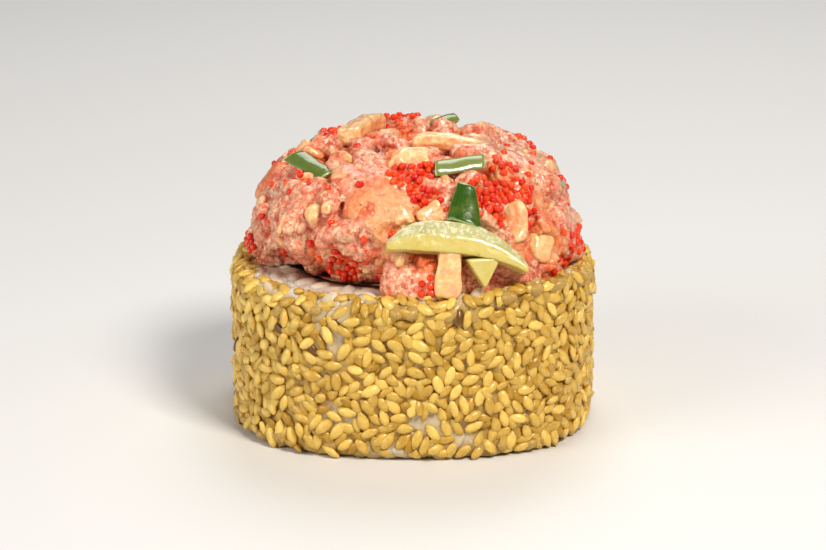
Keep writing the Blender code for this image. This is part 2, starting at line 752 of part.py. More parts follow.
def sesame_rice(collection, material, above):
    """The rice ring with grains on its cut face and sesame seeds on its wall, clear of what lies above."""
    rice = add_object("sesame_rice", rice_ring(), collection, material)
    draw = random.Random(12)
    fused = helper_collection("fused")
    seed, grain = seed_mesh(), grain_mesh()
    for mesh, frames in ((seed, seed_frames(draw)), (grain, grain_frames(draw))):
        for frame in frames:
            if near_any(frame.translation, above, FUSED_REACH):
                continue
            piece = add_object("fused", mesh, fused)
            piece.matrix_world = frame
    bpy.context.view_layer.update()
    apply_boolean(rice, fused, "UNION")
    rice.data.materials.clear()
    rice.data.materials.append(material)
    return rice


def nori_sleeve(collection, material):
    """The seaweed sheet: a thin sleeve that runs through the slice."""
    inner = NORI_RADIUS - NORI_WALL
    profile = [(NORI_RADIUS, SLICE_HEIGHT), (NORI_RADIUS, 0), (inner, 0), (inner, SLICE_HEIGHT)]
    mesh = turned(profile, NORI_STEPS)
    square_up(mesh)
    return add_object("nori", mesh, collection, material)


def filling_core(collection, material):
    """What the seaweed holds: a plain core of the same salad."""
    radius = NORI_RADIUS - NORI_WALL - FIT_GAP
    bm = bmesh.new()
    bmesh.ops.create_cone(
        bm, cap_ends=True, segments=NORI_STEPS, radius1=radius, radius2=radius, depth=SLICE_HEIGHT
    )
    bmesh.ops.translate(bm, verts=bm.verts, vec=(0, 0, SLICE_HEIGHT / 2))
    mesh = mesh_from(bm, "filling")
    square_up(mesh)
    return add_object("filling", mesh, collection, material)


def square_up(mesh):
    """Pushes a round mesh out to the rounded square that the roll was pressed to."""
    for vert in mesh.vertices:
        azimuth = math.atan2(vert.co.y, vert.co.x)
        reach = rounded_square(azimuth, vert.co.xy.length)
        vert.co = (reach * math.cos(azimuth), reach * math.sin(azimuth), vert.co.z)


def centre_on_origin(pieces):
    """Moves everything level, so that the middle of the whole object stands over the origin."""
    points = [piece.matrix_world @ vert.co for piece in pieces for vert in piece.data.vertices]
    spans = [(min(p[axis] for p in points), max(p[axis] for p in points)) for axis in (0, 1)]
    shift = Vector([-(low + high) / 2 for low, high in spans] + [0])
    for piece in pieces:
        piece.matrix_world = Matrix.Translation(shift) @ piece.matrix_world


def main():
    for old in list(bpy.data.objects):
        bpy.data.objects.remove(old)
    roll = bpy.data.collections.new("uramaki_slice")
    bpy.context.scene.collection.children.link(roll)
    finishes = {
        "rice": finish("sesame and rice", (0.62, 0.42, 0.11), 0.5),
        "nori": finish("seaweed", (0.02, 0.03, 0.015), 0.4),
        "filling": finish("filling", (0.78, 0.36, 0.20), 0.45),
        "salad": finish("salmon salad", (0.84, 0.30, 0.20), 0.4),
        "cucumber": finish("cucumber flesh", (0.62, 0.55, 0.16), 0.3),
        "crab": finish("crab", (0.90, 0.58, 0.28), 0.4),
        "scallion": finish("spring onion", (0.09, 0.20, 0.02), 0.35),
    }
    loose = add_loose_pieces(roll, finishes)
    heap = salad_heap(roll, loose, finishes["salad"])
    sesame_rice(roll, finishes["rice"], [heap, *loose])
    nori_sleeve(roll, finishes["nori"])
    filling_core(roll, finishes["filling"])
    centre_on_origin(list(roll.objects))


main()
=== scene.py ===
"""Dresses a slice of uramaki roll: its rice, sesame, seaweed, salmon salad, vegetables and roe.

It is laid out as a Blender add-on and is run as a script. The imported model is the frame. Each piece
made here stands for a node of it, alone or with others. Metres, +Z up.
"""

import itertools
import json
import math
import random

import bmesh
import bpy
import numpy as np
from mathutils import Matrix, Vector, kdtree, noise
from mathutils.bvhtree import BVHTree

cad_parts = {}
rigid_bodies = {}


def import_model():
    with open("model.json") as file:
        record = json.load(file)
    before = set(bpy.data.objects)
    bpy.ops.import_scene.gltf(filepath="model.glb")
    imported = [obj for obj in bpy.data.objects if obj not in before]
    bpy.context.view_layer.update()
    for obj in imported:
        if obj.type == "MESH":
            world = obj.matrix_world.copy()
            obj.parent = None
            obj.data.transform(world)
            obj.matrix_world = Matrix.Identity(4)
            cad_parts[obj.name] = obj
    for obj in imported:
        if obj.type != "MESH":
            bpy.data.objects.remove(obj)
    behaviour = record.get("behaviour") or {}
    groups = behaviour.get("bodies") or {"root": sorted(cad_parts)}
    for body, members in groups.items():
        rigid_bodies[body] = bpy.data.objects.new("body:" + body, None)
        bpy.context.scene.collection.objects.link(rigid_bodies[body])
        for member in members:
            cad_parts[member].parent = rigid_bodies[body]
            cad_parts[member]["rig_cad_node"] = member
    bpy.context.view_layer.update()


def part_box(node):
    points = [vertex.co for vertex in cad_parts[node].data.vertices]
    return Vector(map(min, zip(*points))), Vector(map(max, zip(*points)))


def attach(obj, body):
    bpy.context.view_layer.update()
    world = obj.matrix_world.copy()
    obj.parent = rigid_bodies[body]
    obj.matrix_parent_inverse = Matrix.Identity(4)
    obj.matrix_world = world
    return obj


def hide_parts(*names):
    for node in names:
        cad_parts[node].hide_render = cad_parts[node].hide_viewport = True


bl_info = {
    "name": "Uramaki slice",
    "version": (1, 0, 0),
    "blender": (4, 5, 0),
    "location": "3D View > Sidebar > Uramaki",
    "description": "Models one sesame-coated uramaki slice under a heap of salmon salad",
    "category": "Add Mesh",
}

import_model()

# The roll's axis is a little off the frame's origin. The filling is round, so it shows how far.
CORE_LOW, CORE_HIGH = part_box("filling")
SHIFT = Vector(((CORE_LOW.x + CORE_HIGH.x) / 2, (CORE_LOW.y + CORE_HIGH.y) / 2, 0))

# The pressed roll.
SQUARENESS = 2.6
EDGE_ROUNDING = 0.0016
WALL_RELIEF = 0.00035
WALL_RELIEF_SPACING = 0.0042
HIGH_RIM_AZIMUTH = math.radians(-46)
HIGH_RIM_SPREAD = math.radians(22)
HIGH_RIM_LIFT = 0.0024
RIM_LIFT_STARTS = 0.7
SWELL_FLATNESS = 6
FIT_GAP = 0.0003
RICE_RING_STEPS = 120
NORI_RING_STEPS = 144

# Rows and columns of rice grains on the wall, and rows of them on the cut face.
WALL_GRAIN_ROWS = 11
WALL_GRAIN_COLUMNS = 46
FACE_GRAIN_ROWS = 4

# The heap of salad, with the notch at its foot where the rice and nori show.
HEAP_HEIGHT = 0.0165
HEAP_MARGIN = 0.0024
HEAP_FULLNESS = 0.75
HEAP_INSET = 0.0013
NOTCH_AZIMUTH = math.radians(-130)
NOTCH_SPREAD = math.radians(30)
NOTCH_DEPTH = 0.0080
NOTCH_FADE = 2.2

# The least and most length, width and thickness of a lump of mince and of a crumb.
LUMP_SIZES = ((0.0030, 0.0062), (0.0026, 0.0048), (0.0018, 0.0030))
CRUMB_SIZES = ((0.0012, 0.0030), (0.0010, 0.0020), (0.0008, 0.0014))
LUMP_TONES = (0.0, 0.05, 0.1, 0.15, 0.2, 0.3, 0.5, 0.8)
# The depth in the relief of the mince that gets the full painted shade of a crease.
FULL_SHADE_DEPTH = 0.00035

# The cells that pieces are remeshed with.
MINCE_CELL = 0.00031
FILLING_CELL = 0.0005
CUCUMBER_CELL = 0.00025
STRAND_CELL = 0.00022
FINE_CELL = 0.0002
# How far noise is shifted at random, so that no two pieces are alike.
NOISE_SHIFT = 9

# Salmon chunks: azimuth and elevation on the heap in degrees, length, width, thickness, and a tone
# from 0 for deep pink through 0.5 for orange to 1 for pale peach.
SALMON_CHUNKS = (
    (-90, 5, 0.0080, 0.0058, 0.0060, 0.15),
    (-144, 14, 0.0068, 0.0066, 0.0050, 0.10),
    (-144, 36, 0.0082, 0.0072, 0.0050, 0.05),
    (166, 34, 0.0060, 0.0080, 0.0052, 0.55),
    (-118, 54, 0.0074, 0.0062, 0.0042, 0.25),
    (-104, 40, 0.0092, 0.0076, 0.0050, 0.85),
    (-8, 50, 0.0126, 0.0106, 0.0064, 0.05),
    (-22, 18, 0.0092, 0.0076, 0.0048, 0.20),
    (4, 10, 0.0066, 0.0056, 0.0044, 0.50),
    (-30, 72, 0.0074, 0.0066, 0.0044, 0.10),
    (28, 24, 0.0088, 0.0070, 0.0050, 0.30),
    (44, 48, 0.0094, 0.0078, 0.0050, 0.05),
    (58, 18, 0.0078, 0.0066, 0.0048, 0.60),
    (82, 36, 0.0090, 0.0074, 0.0050, 0.10),
    (104, 16, 0.0082, 0.0064, 0.0050, 0.20),
    (124, 42, 0.0092, 0.0070, 0.0052, 0.05),
    (146, 20, 0.0080, 0.0070, 0.0050, 0.50),
    (-172, 12, 0.0066, 0.0056, 0.0044, 0.30),
    (90, 66, 0.0088, 0.0070, 0.0046, 0.10),
)
CHUNK_SINK = 0.2
CHUNK_TURN = 35
CHUNK_TILT = 14
CHUNK_JITTER = 0.10
BIT_JITTER = 0.20
CHUNK_BEVEL = 0.24

# Roe clusters: azimuth, elevation, spread in metres, count.
ROE_CLUSTERS = (
    (-57, 43, 0.0030, 58),
    (-46, 43, 0.0030, 44),
    (-40, 56, 0.0024, 14),
    (-88, 62, 0.0028, 26),
    (-96, 56, 0.0018, 14),
    (-86, 48, 0.0022, 18),
    (-120, 7, 0.0044, 26),
    (-178, 9, 0.0018, 8),
    (-168, 10, 0.0014, 6),
    (-84, 6, 0.0016, 7),
    (-26, 12, 0.0036, 16),
    (-12, 6, 0.0020, 9),
    (-152, 46, 0.0030, 10),
    (100, 72, 0.0034, 16),
    (24, 44, 0.0034, 22),
    (70, 40, 0.0034, 20),
    (96, 24, 0.0034, 20),
    (154, 32, 0.0034, 18),
    (150, 60, 0.0030, 12),
)
# Tries for each egg that a cluster has, and for each egg that lies alone.
CLUSTER_TRIES = 9
LOOSE_TRIES = 3

# Spring onion: azimuth and elevation, the azimuth it faces and its turn, length, width, curl in
# degrees, how far it is raised, how pale it is, and how far its far end is drawn in.
SCALLIONS = (
    (-154, 53, -112, -34, 0.0066, 0.0032, 70, 0.0010, 0.25, 0.15),
    (-69, 40, -74, 82, 0.0056, 0.0052, 80, 0.0012, 0.0, 0.55),
    (-63, 61, -74, 10, 0.0068, 0.0036, 100, 0.0011, 0.55, 0.10),
    (60, 74, -60, 20, 0.0038, 0.0032, 100, 0.0010, 0.4, 0.2),
    (12, 34, 0, -40, 0.0044, 0.0036, 90, 0.0010, 0.8, 0.1),
    (66, 30, 66, 35, 0.0056, 0.0034, 80, 0.0010, 0.1, 0.3),
    (138, 44, 138, -60, 0.0052, 0.0032, 90, 0.0010, 0.3, 0.2),
)
SCALLION_WALL = 0.0008
SCALLION_SLANT = 0.25
SCALLION_VEIN = 0.00007

# Shredded crab: azimuth, elevation, turn in degrees, length, width, thickness, bend in degrees.
CRAB_STRIPS = (
    (-78, 11, 86, 0.0062, 0.0033, 0.0026, 14),
    (-48, 79, -42, 0.0094, 0.0025, 0.0020, 25),
    (150, 76, 2, 0.0118, 0.0030, 0.0024, 20),
    (92, 46, 24, 0.0104, 0.0030, 0.0022, 25),
)

# Chopped crab: azimuth, elevation, turn in degrees, length, width, thickness.
CRAB_BITS = (
    (-94, 70, 10, 0.0050, 0.0034, 0.0026),
    (-85, 38, 20, 0.0032, 0.0026, 0.0026),
    (-50, 31, 78, 0.0054, 0.0030, 0.0028),
    (-42, 17, 80, 0.0036, 0.0032, 0.0028),
    (-178, 17, 15, 0.0036, 0.0028, 0.0024),
    (-130, 36, 60, 0.0030, 0.0028, 0.0024),
    (40, 34, 30, 0.0050, 0.0038, 0.0030),
    (120, 20, -20, 0.0052, 0.0040, 0.0030),
    (76, 68, 50, 0.0044, 0.0036, 0.0028),
)
STRIP_RAISE = 0.35
BIT_RAISE = -0.05

# The cucumber: a crescent slice across the front of the heap, and a wedge under it.
CUCUMBER_PLACE = (-74, 25, -8, 0.0008)
WEDGE_PLACE = (-67, 13, 0, 0.0010)
WEDGE_RADIUS = 0.0027
WEDGE_LENGTH = 0.0034
HALF_MOON = Vector((0.0188, 0.0048, 0.0036))
# The height of its ends, the hollow of its lower edge, how far its right end hangs, and the powers
# that make its left end blunt and its right end sharp.
HALF_MOON_END = 0.0012
HALF_MOON_HOLLOW = 0.0005
HALF_MOON_DROOP = 0.0011
HALF_MOON_BLUNT = 3.6
HALF_MOON_SHARP = 1.9
HALF_MOON_STEPS = 28
# How far the band under the peel slopes back from the cut face.
HALF_MOON_SLOPE = 0.0016

# The salad is pressed in under the loose pieces, and rises again past their outline.
PRESS_SLOPE = 0.006
PRESS_REACH = 1.3
WEDGE_PRESS = (0.0022, 0.0022, 0.0012)

# Seeds are laid in rounds. In the first they lie side by side, and in the others they fill the gaps.
# Each has a spacing in seed widths, tries, a lean in degrees, a height in seed lengths and a tone;
# the lower tones of the later rounds are painted shade on the seeds down in the gaps.
SEED_WIDTH = 0.54
SEED_ROUNDS = (
    (0.72, 24000, 12, 0.09, 0.68),
    (0.62, 14000, 12, 0.00, 0.42),
    (0.46, 9000, 16, 0.02, 0.30),
)
SEED_HIGHEST = 1.11
BLACK_SEED_SHARE = 0.003
BLACK_SEED_TONE = -0.7
# In a bare patch: the share of the seeds that are left out, and the share of the painted shade
# between seeds that the rice there loses.
SEED_BARE = 0.97
BARE_SHADE_CUT = 0.62

# Places on the wall where few seeds stuck and the rice shows: azimuth, height, radii in metres.
BARE_PATCHES = (
    (-114, 0.0180, 0.0025, 0.0052),
    (-126, 0.0225, 0.0115, 0.0016),
    (-86, 0.0056, 0.0042, 0.0031),
    (-76, 0.0030, 0.0031, 0.0023),
    (-112, 0.0064, 0.0030, 0.0022),
    (-96, 0.0015, 0.0036, 0.0014),
    (150, 0.0100, 0.0040, 0.0030),
    (60, 0.0060, 0.0040, 0.0032),
)

# Colours of painted shade between the seeds, of painted glints on the cucumber, and of specks,
# flecks, clouds and cut edges, in linear light.
# Painted shade between the seeds on the rice, tinted with the seeds' colour.
SEED_GAP_SHADE = (0.50, 0.325, 0.095)
BLACK_SEED = (0.10, 0.03, 0.01)
SALMON_SPECK = (0.20, 0.05, 0.03)
CRAB_FLECK = (0.97, 0.76, 0.46)
CRAB_BLUSH = (0.93, 0.36, 0.20)
CUCUMBER_CLOUD = (0.80, 0.76, 0.42)
# Whitish flecks on the band under the peel: partly its pale flesh, partly painted glints.
CUCUMBER_FLECK_AND_GLINT = (0.90, 0.85, 0.68)
CUCUMBER_SPECK = (0.16, 0.12, 0.03)
LEAF_CLOUD = (0.16, 0.20, 0.03)
LEAF_CUT = (0.55, 0.62, 0.24)

# The stage. Each light has a place, a size, a power and a colour.
LIGHTS = {
    "key": ((0.22, -0.30, 0.42), 0.16, 2.15, (1.0, 0.95, 0.88)),
    "fill": ((-0.42, -0.28, 0.22), 0.35, 1.15, (1.0, 1.0, 1.0)),
    "back": ((0.05, 0.35, 0.45), 0.30, 1.0, (1.0, 1.0, 1.0)),
}
LIGHTS_AIM = (0, 0, 0.018)
SKY_COLOUR = (0.95, 0.96, 1.0, 1.0)
SKY_STRENGTH = 0.16
FLOOR_COLOUR = (0.80, 0.79, 0.77, 1.0)
FLOOR_ROUGHNESS = 0.6
FLOOR_HALF_WIDTH = 1.5
CAMERA_PLACE = (-0.00068, -0.3602, 0.1233)
CAMERA_AIM = (0, 0, 0.0185)
CAMERA_LENS = 118


def length_property(name, description, default):
    """A length that a user may halve or double."""
    return bpy.props.FloatProperty(
        name=name,
        description=description,
        default=default,
        min=default / 2,
        max=default * 2,
        unit="LENGTH",
    )


def count_property(name, description, default):
    """A number of things that a user may change."""
    return bpy.props.IntProperty(name=name, description=description, default=default, min=1)


def colour_property(name, description, default):
    """A colour that a user may change, in linear light."""
    return bpy.props.FloatVectorProperty(
        name=name, description=description, default=default, size=3, min=0, max=1, subtype="COLOR"
    )


class SliceSizes(bpy.types.PropertyGroup):
    """Sizes of the roll, of the grains on it and of the salad on top."""

    slice_height: length_property("Slice Height", "Height of the rice ring", 0.0215)
    roll_radius: length_property("Roll Radius", "Half the width of the rice ring", 0.0242)
    nori_radius: length_property("Nori Radius", "Half the width of the nori", 0.0163)
    nori_wall: length_property("Nori Wall", "Thickness of the nori", 0.0006)
    seed_length: length_property("Seed Length", "Length of a sesame seed", 0.0029)
    seed_count: count_property("Seeds", "The most sesame seeds on the wall", 2200)
    grain_length: length_property("Grain Length", "Length of a cooked rice grain", 0.0052)
    egg_radius: length_property("Egg Radius", "Radius of a fish egg", 0.00054)
    loose_eggs: count_property("Loose Eggs", "Fish eggs spread singly over the heap", 70)
    lumps: count_property("Lumps", "Lumps of minced salmon on the heap", 210)
    crumbs: count_property("Crumbs", "Pale crumbs spread over the heap", 55)
    mince_grain: length_property("Mince Grain", "Spacing of the mince's relief", 0.0011)


class SliceColours(bpy.types.PropertyGroup):
    """Colours of the foods."""

    rice: colour_property("Rice", "Cooked rice", (0.80, 0.72, 0.58))
    sesame_dark: colour_property("Dark Sesame", "The darkest seeds", (0.46, 0.25, 0.022))
    sesame_light: colour_property("Light Sesame", "The palest seeds", (0.90, 0.63, 0.165))
    nori: colour_property("Nori", "Roasted seaweed", (0.020, 0.012, 0.008))
    salmon: colour_property("Salmon", "Minced salmon", (0.90, 0.27, 0.165))
    # Deep salmon colour, also laid into the creases of the relief as painted shade.
    salmon_deep_and_crease_shade: colour_property("Deep Salmon", "Salmon in the hollows", (0.58, 0.050, 0.014))
    salmon_pale: colour_property("Pale Salmon", "Salmon under sauce", (0.97, 0.60, 0.37))
    salmon_orange: colour_property("Orange Salmon", "Salmon's oily cuts", (0.92, 0.20, 0.045))
    sauce: colour_property("Sauce", "Pale sauce that clings to the mince", (1.0, 0.75, 0.50))
    peach: colour_property("Peach", "The palest chunks", (0.96, 0.50, 0.23))
    crab: colour_property("Crab", "Crab and pale crumbs", (0.93, 0.58, 0.26))
    roe_light: colour_property("Light Roe", "Orange roe", (0.97, 0.125, 0.020))
    roe_dark: colour_property("Dark Roe", "Red roe", (0.66, 0.012, 0.004))
    cucumber: colour_property("Cucumber", "Cucumber flesh", (0.66, 0.53, 0.15))
    cucumber_rim: colour_property("Cucumber Rim", "Flesh under the peel", (0.50, 0.47, 0.22))
    leaf: colour_property("Leaf", "Outside of the spring onion", (0.035, 0.100, 0.008))
    leaf_inside: colour_property("Leaf Inside", "Inside of the spring onion", (0.46, 0.50, 0.17))


def sizes():
    return bpy.context.scene.uramaki_sizes


def colours():
    return bpy.context.scene.uramaki_colours


# Places on the roll and on the heap


def swell(azimuth, centre, spread):
    """A smooth bump of height 1 round an azimuth, flat on top."""
    away = abs(math.remainder(azimuth - centre, math.tau)) / spread
    return 1 / (1 + away**SWELL_FLATNESS)


def polar(azimuth, reach=1.0, height=0.0):
    """The point at an azimuth, a distance from the axis and a height."""
    return Vector((reach * math.cos(azimuth), reach * math.sin(azimuth), height))


def turned(degrees, axis):
    return Matrix.Rotation(math.radians(degrees), 4, axis)


def rounded_square(azimuth, radius):
    """Distance from the axis to a rounded square of this half width."""
    across, along = abs(math.cos(azimuth)), abs(math.sin(azimuth))
    return radius / (across**SQUARENESS + along**SQUARENESS) ** (1 / SQUARENESS)


def wall_point(azimuth, height, radius):
    """A point on the pressed rice wall, with its low relief."""
    flat = polar(azimuth)
    place = flat * rounded_square(azimuth, radius) + Vector((0, 0, height))
    return place + flat * WALL_RELIEF * noise.noise(place / WALL_RELIEF_SPACING)


def rim_rise(azimuth, radius, height):
    """How far the rice is raised at a place near the rim of the cut face."""
    inner = sizes().nori_radius + FIT_GAP
    near_rim = (radius - inner) / (sizes().roll_radius - inner)
    near_rim = max(0.0, (near_rim - RIM_LIFT_STARTS) / (1 - RIM_LIFT_STARTS))
    near_top = max(0.0, height / sizes().slice_height) ** 3
    return HIGH_RIM_LIFT * swell(azimuth, HIGH_RIM_AZIMUTH, HIGH_RIM_SPREAD) * near_rim * near_top


def frame_at(place, along, outward):
    """A matrix at a place, with X along a direction and Z outward."""
    outward = outward.normalized()
    across = outward.cross(along).normalized()
    turn = Matrix((across.cross(outward), across, outward)).transposed().to_4x4()
    return Matrix.Translation(place) @ turn


def profile_length():
    """How long the rice's outside is, from the bottom face to the top."""
    return sizes().slice_height + EDGE_ROUNDING * (math.pi - 2)


def roll_surface(azimuth, run):
    """A point on the rice's outside, at a run along its profile from the bottom face to the top."""
    quarter = EDGE_ROUNDING * math.pi / 2
    straight = sizes().slice_height - 2 * EDGE_ROUNDING
    angle = min(0.0, run / EDGE_ROUNDING - math.pi / 2)
    angle += max(0.0, (run - quarter - straight) / EDGE_ROUNDING)
    height = EDGE_ROUNDING * (1 + math.sin(angle)) + min(straight, max(0.0, run - quarter))
    radius = sizes().roll_radius - EDGE_ROUNDING * (1 - math.cos(angle))
    return wall_point(azimuth, height, radius) + Vector((0, 0, rim_rise(azimuth, radius, height)))


def roll_frame(azimuth, run, turn):
    """A matrix on the rice's outside: Z outward, X turned from the level in the surface."""
    level = roll_surface(azimuth + 0.01, run) - roll_surface(azimuth - 0.01, run)
    upward = roll_surface(azimuth, run + 0.0002) - roll_surface(azimuth, run - 0.0002)
    matrix = frame_at(roll_surface(azimuth, run), level, level.cross(upward))
    return matrix @ Matrix.Rotation(turn, 4, "Z")


def notch_depth(azimuth):
    """How far the foot of the heap is drawn in."""
    return NOTCH_DEPTH * swell(azimuth, NOTCH_AZIMUTH, NOTCH_SPREAD)


def heap_point(azimuth, elevation):
    """A point on the heap's plain surface, from 0 degrees at its foot to 90 on top."""
    foot = rounded_square(azimuth, sizes().roll_radius) - HEAP_MARGIN - notch_depth(azimuth)
    reach = foot * max(0.0, math.cos(elevation)) ** HEAP_FULLNESS
    reach += notch_depth(azimuth) * math.cos(elevation) * min(1.0, math.sin(elevation) * NOTCH_FADE)
    height = sizes().slice_height + FIT_GAP + HEAP_HEIGHT * math.sin(elevation)
    return polar(azimuth, reach, height)


def heap_frame(azimuth, elevation, turn=0.0, raised=0.0, facing=None):
    """A matrix on the heap: X level and to the right from outside, Z outward, turned about Z."""
    place = heap_point(math.radians(azimuth), math.radians(elevation))
    azimuth = math.radians(azimuth if facing is None else facing)
    elevation = math.radians(elevation)
    level = heap_point(azimuth + 0.02, elevation) - heap_point(azimuth - 0.02, elevation)
    upward = heap_point(azimuth, elevation + 0.02) - heap_point(azimuth, elevation - 0.02)
    outward = level.cross(upward).normalized()
    return frame_at(place + outward * raised, level, outward) @ turned(turn, "Z")


def anywhere_on_heap(draw, lowest, highest):
    """A random azimuth and elevation in degrees, between two shares of the heap's height."""
    return draw.uniform(-180, 180), math.degrees(math.asin(draw.uniform(lowest, highest)))


def seat(tree, azimuth, elevation, aside=Vector((0, 0, 0))):
    """Where a line in towards the heap meets what is there, and the surface's normal."""
    matrix = heap_frame(azimuth, elevation)
    start = matrix @ (aside + Vector((0, 0, 0.008))) + SHIFT
    place, normal, _, _ = tree.ray_cast(start, -matrix.col[2].to_3d(), 0.016)
    return None if place is None else (place - SHIFT, normal)


# Helpers for meshes


def any_vector(draw, reach):
    """A random vector whose parts are at most this large."""
    return Vector([draw.uniform(-reach, reach) for _ in range(3)])


def mesh_from(bm, name):
    """The bmesh as a mesh with its faces pointing out."""
    bmesh.ops.recalc_face_normals(bm, faces=bm.faces)
    mesh = bpy.data.meshes.new(name)
    bm.to_mesh(mesh)
    bm.free()
    return mesh


def ball_along_x():
    """A bmesh of a ball of width 1 with its poles on X."""
    bm = bmesh.new()
    bmesh.ops.create_uvsphere(bm, u_segments=8, v_segments=6, radius=0.5)
    bmesh.ops.rotate(bm, verts=bm.verts, matrix=Matrix.Rotation(math.pi / 2, 3, "Y"))
    return bm


def spun_ring(profile, steps):
    """A bmesh of a closed profile of (radius, height) points, spun once about the Z axis."""
    bm = bmesh.new()
    verts = [bm.verts.new((radius, 0, height)) for radius, height in profile]
    edges = [bm.edges.new(pair) for pair in zip(verts, verts[1:] + verts[:1])]
    bmesh.ops.spin(
        bm,
        geom=verts + edges,
        cent=(0, 0, 0),
        axis=(0, 0, 1),
        angle=math.tau,
        steps=steps,
        use_merge=True,
    )
    bmesh.ops.remove_doubles(bm, verts=bm.verts, dist=0.000002)
    return bm


def bevel_all(bm, offset, segments):
    bmesh.ops.bevel(
        bm,
        geom=bm.edges[:],
        offset=offset,
        segments=segments,
        profile=0.5,
        affect="EDGES",
        material=-1,
    )


def square_up(bm):
    """Pushes a round mesh out to the rounded square that the roll was pressed to."""
    for vert in bm.verts:
        azimuth = math.atan2(vert.co.y, vert.co.x)
        vert.co = polar(azimuth, rounded_square(azimuth, vert.co.xy.length), vert.co.z)


def chunk_mesh(size, draw, segments=1, jitter=CHUNK_JITTER):
    """A torn chunk: a block with worn edges and uneven corners."""
    bm = bmesh.new()
    bmesh.ops.create_cube(bm, size=1)
    for vert in bm.verts:
        vert.co += any_vector(draw, jitter)
    bevel_all(bm, CHUNK_BEVEL, segments)
    bmesh.ops.scale(bm, verts=bm.verts, vec=size)
    return mesh_from(bm, "chunk")


def points_of(mesh):
    """The mesh's points as rows of an array."""
    flat = np.empty(len(mesh.vertices) * 3)
    mesh.vertices.foreach_get("co", flat)
    return flat.reshape(-1, 3)


def joined(placed, name):
    """One mesh of many copies, each a mesh and a matrix, and the number of each point's copy."""
    points, faces, owners = [], [], []
    read = {}
    for number, (mesh, matrix, *_) in enumerate(placed):
        if mesh.name not in read:
            read[mesh.name] = points_of(mesh), [tuple(face.vertices) for face in mesh.polygons]
        local, shape = read[mesh.name]
        start = len(owners)
        points.append(local @ np.array(matrix.to_3x3()).T + np.array(matrix.translation))
        faces += [tuple(start + index for index in face) for face in shape]
        owners += [number] * len(local)
    mesh = bpy.data.meshes.new(name)
    mesh.from_pydata(np.concatenate(points).tolist(), [], faces)
    return mesh, owners


def linked(name, data):
    """A new object in the scene."""
    item = bpy.data.objects.new(name, data)
    bpy.context.scene.collection.objects.link(item)
    return item


def remeshed(mesh, cell, rounds=0):
    """The mesh made again from cells of one size, which joins what overlaps, and smoothed."""
    source = linked("source", mesh)
    remesh = source.modifiers.new("cells", "REMESH")
    remesh.mode = "VOXEL"
    remesh.voxel_size = cell
    graph = bpy.context.evaluated_depsgraph_get()
    result = bpy.data.meshes.new_from_object(source.evaluated_get(graph))
    bpy.data.objects.remove(source)
    bm = bmesh.new()
    bm.from_mesh(result)
    for _ in range(rounds):
        bmesh.ops.smooth_vert(
            bm, verts=bm.verts, factor=0.5, use_axis_x=True, use_axis_y=True, use_axis_z=True
        )
    bm.to_mesh(result)
    bm.free()
    return result


def roughened(mesh, reliefs):
    """Pushes each point of the mesh along its normal by its own relief."""
    moves = [vert.normal * relief for vert, relief in zip(mesh.vertices, reliefs)]
    for vert, move in zip(mesh.vertices, moves):
        vert.co += move


def level_foot(mesh, level=0.0):
    """Flattens what hangs below a level."""
    for vert in mesh.vertices:
        vert.co.z = max(vert.co.z, level)


def pressed(mesh, places):
    """Presses a surface in at places: each has a matrix, half a length and width, and a depth."""
    points = points_of(mesh)
    for matrix, half_length, half_width, depth in places:
        turn, centre = np.array(matrix.to_3x3()), np.array(matrix.translation)
        local = (points - centre) @ turn
        away = np.hypot(local[:, 0] / half_length, local[:, 1] / half_width)
        limit = PRESS_SLOPE * np.maximum(0, away - 1) - depth
        over = (away < PRESS_REACH) & (local[:, 2] > limit)
        local[over, 2] = limit[over]
        points = local @ turn.T + centre
    mesh.vertices.foreach_set("co", points.ravel())
    mesh.update()


def set_attribute(mesh, name, values):
    """A number on each point of the mesh, or one number on all of them."""
    if isinstance(values, float):
        values = [values] * len(mesh.vertices)
    attribute = mesh.attributes.new(name, "FLOAT", "POINT")
    attribute.data.foreach_set("value", values)


class Crowd:
    """Points sorted into cells, to find what lies near a place quickly."""

    def __init__(self, distance):
        self.distance = distance
        self.cells = {}

    def cell(self, place):
        return tuple(math.floor(value / self.distance) for value in place)

    def add(self, *places):
        for place in places:
            self.cells.setdefault(self.cell(place), []).append(place)

    def near(self, place):
        """Whether a kept point lies closer than the distance."""
        sides = [(index - 1, index, index + 1) for index in self.cell(place)]
        around = [self.cells.get(cell, ()) for cell in itertools.product(*sides)]
        return any((other - place).length < self.distance for kept in around for other in kept)


def tree_of(meshes):
    """One search tree over several meshes."""
    points, faces = [], []
    for mesh in meshes:
        start = len(points)
        points += [vert.co.copy() for vert in mesh.vertices]
        faces += [[start + index for index in face.vertices] for face in mesh.polygons]
    return BVHTree.FromPolygons(points, faces)


def add_piece(name, mesh, material, node):
    """Puts a finished mesh in the scene, on the body, for the node that it stands for."""
    mesh.transform(Matrix.Translation(SHIFT))
    mesh.materials.clear()
    mesh.materials.append(material)
    mesh.shade_smooth()
    piece = linked(name, mesh)
    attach(piece, "root")
    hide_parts(node)


# Materials


